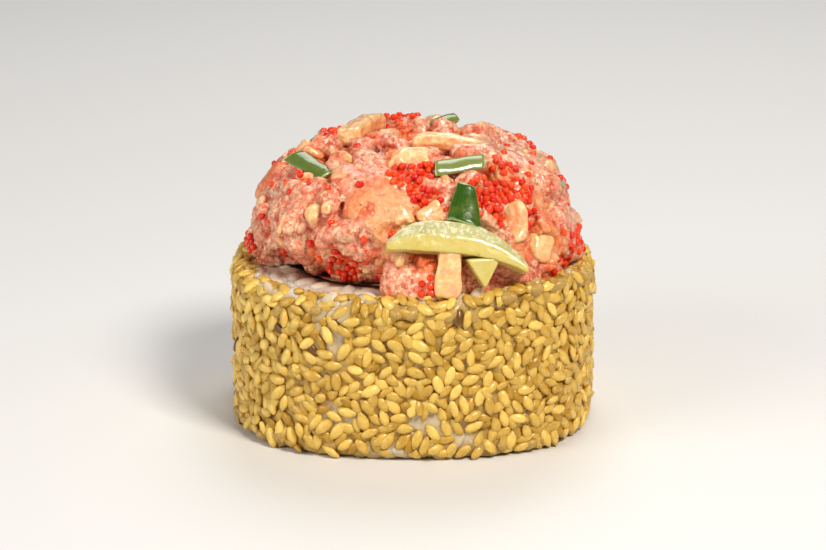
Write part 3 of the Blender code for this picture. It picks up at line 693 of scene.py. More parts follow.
class Shader:
    """A Principled material whose nodes are added one after another."""

    def __init__(self, name, roughness, **numbers):
        self.material = bpy.data.materials.new(name)
        self.material.use_nodes = True
        self.tree = self.material.node_tree
        self.surface = self.tree.nodes["Principled BSDF"]
        self.feed(self.surface, Roughness=roughness, **numbers)
        self.place = self.add("ShaderNodeTexCoord").outputs["Object"]

    def link(self, socket, value):
        """Links a socket to another, or sets it to a plain value."""
        if isinstance(value, bpy.types.NodeSocket):
            self.tree.links.new(value, socket)
        else:
            socket.default_value = value

    def feed(self, node, **inputs):
        for label, value in inputs.items():
            self.link(node.inputs[label.replace("_", " ")], value)

    def add(self, kind, settings=(), **inputs):
        """A new node with these settings and inputs."""
        node = self.tree.nodes.new(kind)
        for label, value in settings:
            setattr(node, label, value)
        self.feed(node, **inputs)
        return node

    def noise(self, size, detail, roughness=0.5):
        """Cloudy noise whose patches are about this large, in metres."""
        node = self.add("ShaderNodeTexNoise", Vector=self.place, Scale=1 / size)
        self.feed(node, Detail=detail, Roughness=roughness)
        return node.outputs["Fac"]

    def cells(self, size):
        """Distance to the nearest of scattered points that lie about this far apart."""
        node = self.add("ShaderNodeTexVoronoi", Vector=self.place, Scale=1 / size)
        return node.outputs["Distance"]

    def attribute(self, name):
        return self.add("ShaderNodeAttribute", [("attribute_name", name)]).outputs["Fac"]

    def between(self, value, low, high, start=0.0, end=1.0):
        """The value spread from low..high over start..end, and kept inside it."""
        node = self.add("ShaderNodeMapRange", Value=value, From_Min=low, From_Max=high)
        self.feed(node, To_Min=start, To_Max=end)
        return node.outputs["Result"]

    def combined(self, operation, *values):
        node = self.add("ShaderNodeMath", [("operation", operation)])
        for socket, value in zip(node.inputs, values):
            self.link(socket, value)
        return node.outputs[0]

    def patches(self, size, low, high, start=0.0, end=1.0, detail=3, roughness=0.5):
        """Cloudy patches, from start where the noise is low to end where it is high."""
        return self.between(self.noise(size, detail, roughness), low, high, start, end)

    def specks(self, size, low, high):
        """Small dark spots that are this far apart and have soft edges."""
        return self.between(self.cells(size), low, high, 0.6, 0)

    def mix(self, share, first, second):
        """A colour between two others."""
        node = self.add("ShaderNodeMix", [("data_type", "RGBA")], Factor=share)
        for socket, value in ((node.inputs[6], first), (node.inputs[7], second)):
            self.link(socket, value if isinstance(value, bpy.types.NodeSocket) else (*value, 1.0))
        return node.outputs[2]

    def layers(self, colour, *layers):
        """The colour with others laid over it in turn, each by its share."""
        for share, paint in layers:
            colour = self.mix(share, colour, paint)
        return colour

    def bump(self, height, distance, **under):
        node = self.add("ShaderNodeBump", Height=height, Distance=distance, **under)
        return node.outputs["Normal"]

    def grain(self, size, distance, detail=3, roughness=0.5):
        """A fine cloudy relief of this size and height."""
        return self.bump(self.noise(size, detail, roughness), distance)

    def done(self, colour, **normal):
        """The finished material."""
        self.feed(self.surface, Base_Color=colour, **normal)
        return self.material


def moist(name, roughness, glow, coat, depth=(1.0, 0.45, 0.25)):
    """A shader for wet food that lets light in by about a millimetre."""
    return Shader(
        name,
        roughness,
        Subsurface_Weight=glow,
        Subsurface_Radius=depth,
        Subsurface_Scale=0.0009,
        Coat_Weight=coat,
        Coat_Roughness=0.10,
        IOR=1.38,
    )


def shade(colour, share):
    """The colour made darker or lighter."""
    return [part * share for part in colour]


def rice_material():
    shader = moist("rice", 0.38, 0.45, 0.25, (1.0, 0.8, 0.55))
    colour = shader.layers(
        shade(colours().rice, 0.82),
        (shader.patches(0.0016, 0.3, 0.7), colours().rice),
        # Painted shade between the seeds, where the rice lies in their shadow.
        (shader.attribute("gap_shade"), SEED_GAP_SHADE),
    )
    return shader.done(colour, Normal=shader.grain(0.0005, 0.00006))


def sesame_material():
    shader = Shader(
        "sesame",
        0.34,
        Subsurface_Weight=0.12,
        Subsurface_Radius=(1.0, 0.6, 0.3),
        Subsurface_Scale=0.0006,
        Coat_Weight=0.25,
        Coat_Roughness=0.2,
    )
    cloud = shader.patches(0.0009, 0.3, 0.7, -0.16, 0.16, 2)
    tone = shader.combined("ADD", shader.attribute("tone"), cloud)
    tip = shader.between(shader.attribute("along"), 0.72, 1.0, 0, 0.55)
    colour = shader.layers(
        colours().sesame_dark,
        (shader.between(tone, 0, 1), colours().sesame_light),
        (shader.between(tone, -0.6, -0.3, 0.8, 0), BLACK_SEED),
        (tip, shade(colours().sesame_dark, 0.55)),
    )
    return shader.done(colour, Normal=shader.grain(0.0003, 0.00003, 2))


def nori_material():
    shader = Shader("nori", 0.32, Coat_Weight=0.3, Coat_Roughness=0.2)
    cloud = shader.patches(0.0012, 0.35, 0.7, detail=4)
    colour = shader.mix(cloud, colours().nori, shade(colours().nori, 2.6))
    return shader.done(colour, Normal=shader.grain(0.0006, 0.00012, 4))


def salmon_material(name, coarse):
    """Minced salmon: the tone of each lump, pale clouds, sauce, deep patches, painted shade in the
    dips, and specks.
    """
    shader = moist(name, 0.30, 0.3, 0.6)
    paint = colours()
    tone = shader.attribute("tone")
    plain = shader.between(tone, 0.15, 0.4, 1, 0.35)
    cloud = shader.patches(coarse, 0.40, 0.60, 0, 0.8, 4, 0.6)
    sauce = shader.patches(0.0007, 0.50, 0.58, 0, 0.9, 3, 0.75)
    juice = shader.patches(0.0009, 0.38, 0.48, 0.7, 0, 3, 0.7)
    colour = shader.layers(
        paint.salmon,
        (shader.between(tone, 0.25, 0.55), paint.salmon_orange),
        (shader.between(tone, 0.6, 0.9), paint.peach),
        (shader.combined("MULTIPLY", cloud, plain), paint.salmon_pale),
        (shader.patches(coarse * 0.55, 0.57, 0.72, 0, 0.4, 3, 0.6), paint.salmon_deep_and_crease_shade),
        (shader.combined("MULTIPLY", sauce, plain), paint.sauce),
        (shader.combined("MULTIPLY", juice, plain), paint.salmon_deep_and_crease_shade),
        # Painted shade: deep salmon laid into the dips of the relief.
        (shader.between(shader.attribute("crease_shade"), -1.3, -0.15, 0.75, 0), paint.salmon_deep_and_crease_shade),
        (shader.specks(0.0017, 0.085, 0.11), SALMON_SPECK),
    )
    grain = shader.grain(0.0005, 0.00034, 3, 0.7)
    return shader.done(colour, Normal=shader.bump(shader.cells(0.0007), 0.00015, Normal=grain))


def crab_material():
    shader = moist("crab", 0.28, 0.45, 0.7)
    base = colours().crab
    cloud = shader.patches(0.0014, 0.3, 0.7, -0.4, 0.4)
    tone = shader.combined("ADD", shader.attribute("tone"), cloud)
    colour = shader.layers(
        (base[0] * 0.96, base[1] * 0.64, base[2] * 0.62),
        (shader.between(tone, 0, 1), base),
        (shader.patches(0.0009, 0.50, 0.62, 0, 0.75, roughness=0.7), CRAB_FLECK),
        (shader.patches(0.0016, 0.52, 0.66, 0, 0.55), CRAB_BLUSH),
    )
    return shader.done(colour, Normal=shader.grain(0.0005, 0.00018))


def roe_material():
    shader = Shader(
        "roe",
        0.12,
        Subsurface_Weight=0.5,
        Subsurface_Radius=(1.0, 0.15, 0.04),
        Subsurface_Scale=0.0007,
        Coat_Weight=0.7,
        Coat_Roughness=0.04,
        IOR=1.38,
    )
    tone = shader.attribute("tone")
    return shader.done(shader.mix(tone, colours().roe_dark, colours().roe_light))


def cucumber_material():
    shader = moist("cucumber", 0.24, 0.5, 0.6, (0.9, 1.0, 0.35))
    edge = shader.between(shader.attribute("rim"), 0.40, 0.62)
    # Flecks on the band under the peel: partly pale flesh, partly painted glints.
    pale_flecks_and_glints = shader.patches(0.0006, 0.50, 0.60, 0, 0.6, roughness=0.7)
    colour = shader.layers(
        colours().cucumber,
        (edge, colours().cucumber_rim),
        (shader.patches(0.0015, 0.3, 0.7, 0, 0.3), CUCUMBER_CLOUD),
        (shader.combined("MULTIPLY", pale_flecks_and_glints, edge), CUCUMBER_FLECK_AND_GLINT),
        (shader.specks(0.0013, 0.07, 0.1), CUCUMBER_SPECK),
    )
    return shader.done(colour, Normal=shader.grain(0.0007, 0.00010))


def scallion_material():
    shader = moist("spring onion", 0.26, 0.2, 0.6, (0.5, 1.0, 0.3))
    leaf, inside = colours().leaf, colours().leaf_inside
    colour = shader.layers(
        leaf,
        (shader.between(shader.attribute("vein"), 0.3, 0.9, 0, 0.16), shade(leaf, 2.6)),
        (shader.patches(0.0018, 0.4, 0.65, 0, 0.5), LEAF_CLOUD),
        (shader.attribute("pale"), shade(inside, 0.8)),
        (shader.attribute("inside"), inside),
        (shader.between(shader.attribute("cut"), 0.62, 0.85, 0, 0.75), LEAF_CUT),
    )
    return shader.done(colour, Normal=shader.grain(0.0006, 0.00008))


# The rice


def bareness(azimuth, height):
    """How bare the wall is at a place, from 0 to 1."""
    most = 0.0
    for centre, level, wide, tall in BARE_PATCHES:
        around = math.remainder(azimuth - math.radians(centre), math.tau) * sizes().roll_radius
        away = math.hypot(around / wide, (height - level) / tall)
        most = max(most, 1 - away**3)
    return most


def seed_gap_shading(place):
    """How much painted shade between the seeds the rice at a place gets: all of it on the wall, less
    in bare patches, and fading out inward from the edge of the cut face.
    """
    azimuth = math.atan2(place.y, place.x)
    depth = rounded_square(azimuth, sizes().roll_radius) - place.xy.length
    on_wall = place.z <= sizes().slice_height - EDGE_ROUNDING
    wall = 1 if on_wall else max(0.0, 1 - depth / EDGE_ROUNDING)
    return wall * (1 - BARE_SHADE_CUT * bareness(azimuth, place.z))


def grain_mesh(length):
    """A cooked rice grain along X."""
    bm = ball_along_x()
    bmesh.ops.scale(bm, verts=bm.verts, vec=(length, length * 0.48, length * 0.40))
    return mesh_from(bm, "grain")


def rice_core():
    """The pressed body of the ring, with an uneven wall."""
    inner, outer, top = sizes().nori_radius + FIT_GAP, sizes().roll_radius, sizes().slice_height

    def rounding(level, angles):
        """Points of a rounded edge whose centre is at a level, at angles in degrees."""
        turns = [math.radians(angle) for angle in angles]
        reach = outer - EDGE_ROUNDING
        return [
            (reach + EDGE_ROUNDING * math.cos(turn), level + EDGE_ROUNDING * math.sin(turn))
            for turn in turns
        ]

    upper = top - EDGE_ROUNDING
    profile = rounding(upper, (90, 67.5, 45, 22.5, 0))
    profile += [(outer, upper - step / 16 * (top - 2 * EDGE_ROUNDING)) for step in range(1, 16)]
    profile += rounding(EDGE_ROUNDING, (0, -22.5, -45, -67.5, -90))
    profile += [((inner + outer) / 2, 0), (inner, 0), (inner, top / 2), (inner, top)]
    face = outer - EDGE_ROUNDING - inner
    profile += [(inner + share * face, top) for share in (0.25, 0.5, 0.75)]
    bm = spun_ring(profile, RICE_RING_STEPS)
    for vert in bm.verts:
        azimuth, radius, height = math.atan2(vert.co.y, vert.co.x), vert.co.xy.length, vert.co.z
        hole = polar(azimuth) * rounded_square(azimuth, inner) + Vector((0, 0, height))
        place = hole.lerp(wall_point(azimuth, height, outer), (radius - inner) / (outer - inner))
        vert.co = place + Vector((0, 0, rim_rise(azimuth, radius, height)))
    return mesh_from(bm, "rice_core")


def wall_grain_frames(draw, length):
    """Grains pressed into the wall."""
    frames = []
    for row, column in itertools.product(range(WALL_GRAIN_ROWS), range(WALL_GRAIN_COLUMNS)):
        step = column + row % 2 / 2 + draw.uniform(-0.4, 0.4)
        azimuth = math.tau * step / WALL_GRAIN_COLUMNS
        run = profile_length() * (row + 0.5 + draw.uniform(-0.3, 0.3)) / WALL_GRAIN_ROWS
        matrix = roll_frame(azimuth, run, draw.uniform(0, math.pi))
        sink = Matrix.Translation((0, 0, -length * draw.uniform(0.13, 0.18)))
        frames.append(matrix @ sink @ Matrix.Rotation(draw.uniform(-0.15, 0.15), 4, "Y"))
    return frames


def face_grain_frames(draw, length):
    """Grains pressed into the cut face."""
    frames = []
    count = int(math.tau * sizes().roll_radius / (length * 0.62))
    for row, column in itertools.product(range(FACE_GRAIN_ROWS), range(count)):
        inset = EDGE_ROUNDING + length * (0.22 + 0.34 * row)
        azimuth = math.tau * (column + draw.uniform(-0.3, 0.3)) / count
        reach = rounded_square(azimuth, sizes().roll_radius) - inset
        if reach < rounded_square(azimuth, sizes().nori_radius) + length * 0.22:
            continue
        lift = rim_rise(azimuth, sizes().roll_radius - inset, sizes().slice_height)
        height = sizes().slice_height + lift - length * draw.uniform(0.10, 0.16)
        turn = azimuth + draw.uniform(0, math.pi)
        along = polar(turn, height=draw.uniform(-0.15, 0.15))
        frames.append(frame_at(polar(azimuth, reach, height), along, Vector((0, 0, 1))))
    return frames


class URAMAKI_OT_rice(bpy.types.Operator):
    """Adds the ring of pressed rice with its grains."""

    bl_idname = "uramaki.rice"
    bl_label = "Rice Ring"

    def execute(self, context):
        draw = random.Random(3)
        material = rice_material()
        length = sizes().grain_length
        grain = grain_mesh(length)
        frames = wall_grain_frames(draw, length) + face_grain_frames(draw, length)
        grains, _ = joined([(grain, matrix) for matrix in frames], "rice_grains")
        for name, mesh in (("rice_ring", rice_core()), ("rice_grains", grains)):
            level_foot(mesh)
            # Each point carries how much painted shade between the seeds it gets.
            set_attribute(mesh, "gap_shade", [seed_gap_shading(vert.co) for vert in mesh.vertices])
            add_piece(name, mesh, material, "sesame_rice")
        return {"FINISHED"}


# The sesame


def seed_mesh(length):
    """A sesame seed along X: round at one end, drawn to a point at the other."""
    bm = ball_along_x()
    for vert in bm.verts:
        toward_point = max(0.0, vert.co.x) * 2
        vert.co.y *= 1 - 0.42 * toward_point**1.5
        vert.co.z *= 1 - 0.30 * toward_point
    bmesh.ops.scale(bm, verts=bm.verts, vec=(length, length * SEED_WIDTH, length * 0.34))
    return mesh_from(bm, "seed")


def seed_frames(draw):
    """Matrices and tones for the seeds, which lie side by side first and then fill the gaps, darker
    as painted shade.
    """
    frames = []
    length = sizes().seed_length
    width = length * SEED_WIDTH
    crowds = [Crowd(width * spacing) for spacing, *_ in SEED_ROUNDS]
    for number, (_, tries, lean, height, tone) in enumerate(SEED_ROUNDS):
        for _ in range(tries):
            azimuth = draw.uniform(0, math.tau)
            run = draw.uniform(0.0004, profile_length() * SEED_HIGHEST)
            place = roll_surface(azimuth, run)
            if draw.random() < bareness(azimuth, place.z) * SEED_BARE:
                continue
            matrix = roll_frame(azimuth, run, draw.uniform(0, math.tau))
            along = matrix.col[0].to_3d() * (length - width) / 2
            ends = (place - along, place, place + along)
            low = min(end.z for end in ends) < width * 0.42
            apart = ends if number == 0 else (place,)
            full = len(frames) >= sizes().seed_count
            if low or full or any(crowds[number].near(end) for end in apart):
                continue
            for crowd in crowds:
                crowd.add(*ends)
            tilt = turned(draw.gauss(0, lean), "Y")
            roll = turned(draw.gauss(0, lean * 1.4), "X")
            lift = Matrix.Translation((0, 0, length * (height + draw.uniform(-0.03, 0.03))))
            grow = Matrix.Scale(draw.uniform(0.88, 1.06), 4)
            frames.append((matrix @ lift @ tilt @ roll @ grow, tone))
    return frames


class URAMAKI_OT_sesame(bpy.types.Operator):
    """Adds the sesame seeds that cover the wall."""

    bl_idname = "uramaki.sesame"
    bl_label = "Sesame Seeds"

    def execute(self, context):
        draw = random.Random(12)
        seed = seed_mesh(sizes().seed_length)
        along = [vert.co.x / sizes().seed_length + 0.5 for vert in seed.vertices]
        frames = seed_frames(draw)
        mesh, owners = joined([(seed, matrix) for matrix, _ in frames], "sesame_seeds")
        # Each seed's tone is drawn round its round's tone, which is darker for the gap fillers as
        # painted shade.
        tones = [min(1.0, max(0.0, draw.gauss(shaded_middle, 0.20))) for _, shaded_middle in frames]
        tones = [BLACK_SEED_TONE if draw.random() < BLACK_SEED_SHARE else tone for tone in tones]
        set_attribute(mesh, "tone", [tones[owner] for owner in owners])
        set_attribute(mesh, "along", along * len(frames))
        level_foot(mesh)
        add_piece("sesame_seeds", mesh, sesame_material(), "sesame_rice")
        return {"FINISHED"}


# The seaweed and what it holds


class URAMAKI_OT_nori(bpy.types.Operator):
    """Adds the sheet of seaweed rolled round the filling."""

    bl_idname = "uramaki.nori"
    bl_label = "Nori"

    def execute(self, context):
        outer, inner = sizes().nori_radius, sizes().nori_radius - sizes().nori_wall
        levels = [sizes().slice_height * step / 10 for step in range(11)]
        profile = [(outer, level) for level in reversed(levels)]
        bm = spun_ring(profile + [(inner, level) for level in levels], NORI_RING_STEPS)
        square_up(bm)
        for vert in bm.verts:
            flat = Vector((vert.co.x, vert.co.y, 0)).normalized()
            vert.co += flat * 0.0001 * noise.noise(vert.co / 0.003)
        add_piece("nori_sheet", mesh_from(bm, "nori_sheet"), nori_material(), "nori")
        return {"FINISHED"}


class URAMAKI_OT_filling(bpy.types.Operator):
    """Adds the salad that the seaweed holds."""

    bl_idname = "uramaki.filling"
    bl_label = "Filling"

    def execute(self, context):
        radius = sizes().nori_radius - sizes().nori_wall - FIT_GAP
        height = sizes().slice_height
        bm = bmesh.new()
        bmesh.ops.create_cone(
            bm, cap_ends=True, segments=96, radius1=radius, radius2=radius, depth=height
        )
        bmesh.ops.translate(bm, verts=bm.verts, vec=(0, 0, height / 2))
        square_up(bm)
        mesh = remeshed(mesh_from(bm, "filling_core"), FILLING_CELL)
        tones = [max(0.0, noise.noise(vert.co / 0.004)) for vert in mesh.vertices]
        sinks = [noise.noise(vert.co / 0.0016) - 0.55 for vert in mesh.vertices]
        for vert, sink in zip(mesh.vertices, sinks):
            outward = Vector((vert.co.x, vert.co.y, (vert.co.z - height / 2) * 1.4))
            vert.co += outward.normalized() * (0.00022 * sink)
        level_foot(mesh)
        set_attribute(mesh, "tone", tones)
        # Painted shade in the filling's hollows, by how far each point sank.
        set_attribute(mesh, "crease_shade", [min(0.0, sink) * 0.6 for sink in sinks])
        material = salmon_material("filling", 0.0035)
        add_piece("filling_core", mesh, material, "filling")
        return {"FINISHED"}


# The heap of salad


def heap_core():
    """The plain dome under the lumps, a little smaller than the heap."""
    bm = bmesh.new()
    bmesh.ops.create_icosphere(bm, subdivisions=4, radius=1)
    bmesh.ops.bisect_plane(
        bm,
        geom=bm.verts[:] + bm.edges[:] + bm.faces[:],
        plane_co=(0, 0, 0),
        plane_no=(0, 0, 1),
        dist=0.02,
        use_snap_center=True,
        clear_inner=True,
    )
    bmesh.ops.remove_doubles(bm, verts=bm.verts, dist=0.02)
    bmesh.ops.contextual_create(bm, geom=[edge for edge in bm.edges if edge.is_boundary])
    for vert in bm.verts:
        azimuth = math.atan2(vert.co.y, vert.co.x)
        elevation = math.asin(min(1.0, max(0.0, vert.co.z)))
        place = heap_point(azimuth, elevation)
        outward = Vector((place.x, place.y, place.z - sizes().slice_height)).normalized()
        vert.co = place - outward * HEAP_INSET * math.sin(elevation)
    bmesh.ops.triangulate(bm, faces=bm.faces)
    return mesh_from(bm, "heap_core")


def mince_relief(place):
    """The surface of chopped fish: soft swellings, thin creases between flakes and a fine grain."""
    grain = sizes().mince_grain
    swelling = noise.noise(place / (grain * 2.8))
    crease = max(0.0, 1 - abs(noise.noise(place / (grain * 2.0))) / 0.16)
    cell = noise.voronoi(place / (grain * 0.8))[0][0]
    fine = noise.noise(place / (grain * 0.4))
    return 0.00030 * swelling - 0.00034 * crease + 0.00022 * (0.45 - cell) + 0.00008 * fine


def torn_relief(place):
    """The surface of torn crab: swellings, and fine fibres along one way."""
    fibre = noise.noise(Vector((place.x / 0.0030, place.y / 0.0006, place.z / 0.0006)))
    return 0.00014 * noise.noise(place / 0.0015) + 0.00007 * fibre


def salmon_chunks(draw):
    """Each salmon chunk's mesh, matrix and tone, as they lie in the solids."""
    chunks = []
    for azimuth, elevation, *size, tone in SALMON_CHUNKS:
        turn = draw.uniform(-CHUNK_TURN, CHUNK_TURN)
        matrix = heap_frame(azimuth, elevation, turn, -size[2] * CHUNK_SINK)
        tilt = turned(draw.uniform(-CHUNK_TILT, CHUNK_TILT), "X")
        chunks.append((chunk_mesh(Vector(size), draw, 2), matrix @ tilt, tone))
    return chunks


def mince_lumps(draw, count):
    """Lumps of chopped salmon spread evenly over the dome: a mesh, a matrix and a tone each."""
    lumps = []
    for number in range(count):
        elevation = math.asin(min(0.999, ((number + 0.5) / count) ** 0.9))
        azimuth = number * math.pi * (3 - math.sqrt(5)) + draw.uniform(-0.1, 0.1)
        size = Vector([draw.uniform(*limits) for limits in LUMP_SIZES])
        raised = draw.uniform(-0.0013, 0.0001)
        turn = draw.uniform(0, 180)
        matrix = heap_frame(math.degrees(azimuth), math.degrees(elevation), turn, raised)
        matrix = matrix @ turned(draw.gauss(0, 22), "X") @ turned(draw.gauss(0, 18), "Y")
        tone = draw.choice(LUMP_TONES)
        lumps.append((chunk_mesh(size, draw), matrix, tone))
    return lumps


def pale_crumbs(draw, carriers):
    """Crumbs of crab pressed into the meshes of the heap: a mesh, a matrix and a tone each."""
    tree = tree_of(carriers)
    crumbs = []
    for _ in range(sizes().crumbs):
        hit = seat(tree, *anywhere_on_heap(draw, 0.12, 0.98))
        if hit is None:
            continue
        place, normal = hit
        size = Vector([draw.uniform(*limits) for limits in CRUMB_SIZES])
        along = Vector((draw.gauss(0, 1), draw.gauss(0, 1), 0.3))
        matrix = frame_at(place - normal * size.z * 0.25, along, normal)
        crumbs.append((chunk_mesh(size, draw), matrix, draw.random() * 0.7))
    return crumbs


def nearest_tones(mesh, pieces):
    """For each point the tone of the nearest piece, a little blurred between two."""
    tree = kdtree.KDTree(len(pieces))
    for index, (_, matrix, _) in enumerate(pieces):
        tree.insert(matrix.translation, index)
    tree.balance()
    tones = []
    for vert in mesh.vertices:
        found = tree.find_n(vert.co, 2)
        weights = [1 / (distance + 0.0002) ** 4 for _, _, distance in found]
        blend = sum(weight * pieces[index][2] for weight, (_, index, _) in zip(weights, found))
        tones.append(blend / sum(weights))
    return tones


def loose_places():
    """Where the loose pieces lie: a matrix, half the length and width, and the depth of each."""
    places = [
        (heap_frame(*CUCUMBER_PLACE), HALF_MOON.x / 2, HALF_MOON.y / 2, HALF_MOON.z * 0.4),
        (heap_frame(*WEDGE_PLACE), *WEDGE_PRESS),
    ]
    for raise_, pieces in ((STRIP_RAISE, CRAB_STRIPS), (BIT_RAISE, CRAB_BITS)):
        for azimuth, elevation, turn, long, wide, thick, *_ in pieces:
            matrix = heap_frame(azimuth, elevation, turn, thick * raise_)
            places.append((matrix, long * 0.45, wide * 0.45, thick * 0.1))
    for azimuth, elevation, facing, turn, long, wide, _, raised, *_ in SCALLIONS:
        matrix = heap_frame(azimuth, elevation, turn, raised, facing)
        places.append((matrix, long * 0.45, wide * 0.45, 0.0006))
    return places


def finish_mince(mesh, tones, strengths):
    """Roughens a piece of salad by a strength on each point, and keeps its tones and how deep each
    point sinks, for painted shade in the dips.
    """
    pairs = zip(mesh.vertices, strengths)
    reliefs = [mince_relief(vert.co) * strength for vert, strength in pairs]
    roughened(mesh, reliefs)
    pressed(mesh, loose_places())
    level_foot(mesh, sizes().slice_height + FIT_GAP / 2)
    set_attribute(mesh, "tone", tones)
    # Painted shade: the deeper a point lies in the relief, the darker it is painted.
    set_attribute(mesh, "crease_shade", [relief / FULL_SHADE_DEPTH for relief in reliefs])


class URAMAKI_OT_salad(bpy.types.Operator):
    """Adds the heap of minced salmon, its chunks and pale crumbs."""

    bl_idname = "uramaki.salad"
    bl_label = "Salmon Salad"

    def execute(self, context):
        chunks = salmon_chunks(random.Random(7))
        draw = random.Random(21)
        lumps = mince_lumps(draw, sizes().lumps)
        cell = MINCE_CELL
        merged, _ = joined([(heap_core(), Matrix.Identity(4)), *lumps], "mince")
        mince = remeshed(merged, cell, 2)
        finish_mince(mince, nearest_tones(mince, lumps), [1.0] * len(mince.vertices))
        merged, _ = joined(chunks, "chunks")
        cuts = remeshed(merged, cell, 2)
        # A pale chunk is a smooth cut, and a deep pink one is as rough as the mince.
        tones = nearest_tones(cuts, chunks)
        finish_mince(cuts, tones, [0.75 - 0.6 * min(1.0, tone * 1.2) for tone in tones])
        material = salmon_material("salmon salad", 0.0030)
        add_piece("salmon_mince", mince, material, "salmon_salad")
        add_piece("salmon_chunks", cuts, material, "salmon_salad")
        placed = pale_crumbs(draw, [mince, cuts])
        merged, _ = joined(placed, "crumbs")
        crumbs = remeshed(merged, FINE_CELL, 3)
        roughened(crumbs, [torn_relief(vert.co) for vert in crumbs.vertices])
        set_attribute(crumbs, "tone", nearest_tones(crumbs, placed))
        add_piece("pale_crumbs", crumbs, crab_material(), "salmon_salad")
        return {"FINISHED"}


# The loose pieces


def bend_along(bm, length, angle):
    """Bends a piece that lies along X round the Y axis, its ends turned towards -Z."""
    radius = length / angle
    for vert in bm.verts:
        share = vert.co.x / radius
        reach = radius + vert.co.z
        vert.co.x = reach * math.sin(share)
        vert.co.z = reach * math.cos(share) - radius


def strip_mesh(size, bend, draw):
    """A strand of crab: a flat bar with worn edges and fibres, curled lengthwise."""
    bm = bmesh.new()
    bmesh.ops.create_cube(bm, size=1)
    bmesh.ops.scale(bm, verts=bm.verts, vec=size)
    bevel_all(bm, 0.0006, 2)
    mesh = remeshed(mesh_from(bm, "strip"), STRAND_CELL, 6)
    bm = bmesh.new()
    bm.from_mesh(mesh)
    offset = any_vector(draw, NOISE_SHIFT)
    bm.normal_update()
    for vert in bm.verts:
        x, y, z = vert.co
        fibre = noise.noise(Vector((x / 0.006, y / 0.0007, z / 0.0007)) + offset)
        ragged = noise.noise(vert.co / 0.0015 + offset)
        vert.co += vert.normal * (0.00022 * fibre + 0.00018 * ragged)
        vert.co.y *= 1 + 0.25 * noise.noise(Vector((vert.co.x / 0.003, 0, 0)) + offset)
    bend_along(bm, size.x, math.radians(bend))
    return mesh_from(bm, "strip")


def drift(place):
    """Smooth noise along each axis, the same in every run."""
    return Vector([noise.noise(place + Vector((0, 0, shift))) for shift in (0, 17.3, 43.7)])


def bit_mesh(size, draw):
    """A bit of chopped crab with an uneven surface."""
    mesh = remeshed(chunk_mesh(size, draw, 2, BIT_JITTER), FINE_CELL, 14)
    offset = any_vector(draw, NOISE_SHIFT)
    for vert in mesh.vertices:
        vert.co += 0.0010 * drift(vert.co / 0.0032 + offset)
    mesh.update()
    roughened(mesh, [torn_relief(vert.co + offset) for vert in mesh.vertices])
    return mesh


class URAMAKI_OT_crab(bpy.types.Operator):
    """Adds the strands and bits of crab."""

    bl_idname = "uramaki.crab"
    bl_label = "Crab"

    def execute(self, context):
        material = crab_material()
        draw = random.Random(41)
        for number, (azimuth, elevation, turn, *size, bend) in enumerate(CRAB_STRIPS, 1):
            mesh = strip_mesh(Vector(size), bend, draw)
            mesh.transform(heap_frame(azimuth, elevation, turn, size[2] * STRIP_RAISE))
            set_attribute(mesh, "tone", draw.uniform(0.5, 1.0))
            add_piece(f"crab_strand_{number}", mesh, material, f"crab_strip_{number}")
        shape = random.Random(31)
        for number, (azimuth, elevation, turn, *size) in enumerate(CRAB_BITS, 1):
            mesh = bit_mesh(Vector(size), shape)
            mesh.transform(heap_frame(azimuth, elevation, turn, size[2] * BIT_RAISE))
            set_attribute(mesh, "tone", draw.uniform(0.3, 1.0))
            add_piece(f"crab_piece_{number}", mesh, material, f"crab_bit_{number}")
        return {"FINISHED"}


def half_moon_edges(share):
    """Heights of the cucumber's lower edge and of its arch, along the chord from -1 to 1."""
    droop = HALF_MOON_DROOP * max(0.0, share) ** 3
    fall = abs(share) ** (HALF_MOON_BLUNT if share < 0 else HALF_MOON_SHARP)
    low = HALF_MOON_HOLLOW * (1 - share * share) - droop
    high = HALF_MOON_END + (HALF_MOON.y - HALF_MOON_END) * (1 - fall) - droop
    return low, max(low, high)


def cucumber_mesh():
    """A half-moon slice: an arch over a nearly straight edge, worn along the arch."""
    chord, rise, thick = HALF_MOON
    shares = [2 * step / HALF_MOON_STEPS - 1 for step in range(HALF_MOON_STEPS + 1)]
    arch = [(chord / 2 * share, half_moon_edges(share)[1]) for share in shares]
    edge = [(chord / 2 * share, half_moon_edges(share)[0]) for share in reversed(shares)]
    bm = bmesh.new()
    face = bm.faces.new([bm.verts.new((x, y - rise / 2, -thick / 2)) for x, y in arch + edge])
    raised = bmesh.ops.extrude_face_region(bm, geom=[face])
    moved = [item for item in raised["geom"] if isinstance(item, bmesh.types.BMVert)]
    bmesh.ops.translate(bm, verts=moved, vec=(0, 0, thick))
    mesh = remeshed(mesh_from(bm, "half_moon"), CUCUMBER_CELL, 4)
    rim = []
    for vert in mesh.vertices:
        low, top = half_moon_edges(max(-1.0, min(1.0, vert.co.x / (chord / 2))))
        rim.append((vert.co.y + rise / 2 - low) / (top - low))
        if vert.co.z > 0:
            vert.co.z -= max(0.0, rim[-1] - 0.5) * HALF_MOON_SLOPE
    roughened(mesh, [0.00007 * noise.noise(vert.co / 0.0014) for vert in mesh.vertices])
    set_attribute(mesh, "rim", rim)
    return mesh


def wedge_mesh():
    """A short three-sided wedge of cucumber along Z."""
    bm = bmesh.new()
    bmesh.ops.create_cone(
        bm,
        cap_ends=True,
        segments=3,
        radius1=WEDGE_RADIUS,
        radius2=WEDGE_RADIUS,
        depth=WEDGE_LENGTH,
    )
    bevel_all(bm, 0.0003, 2)
    bmesh.ops.rotate(bm, verts=bm.verts, matrix=Matrix.Rotation(math.pi, 3, "Z"))
    mesh = remeshed(mesh_from(bm, "wedge"), FINE_CELL, 2)
    set_attribute(mesh, "rim", [0.2 + vert.co.y / 0.008 for vert in mesh.vertices])
    return mesh


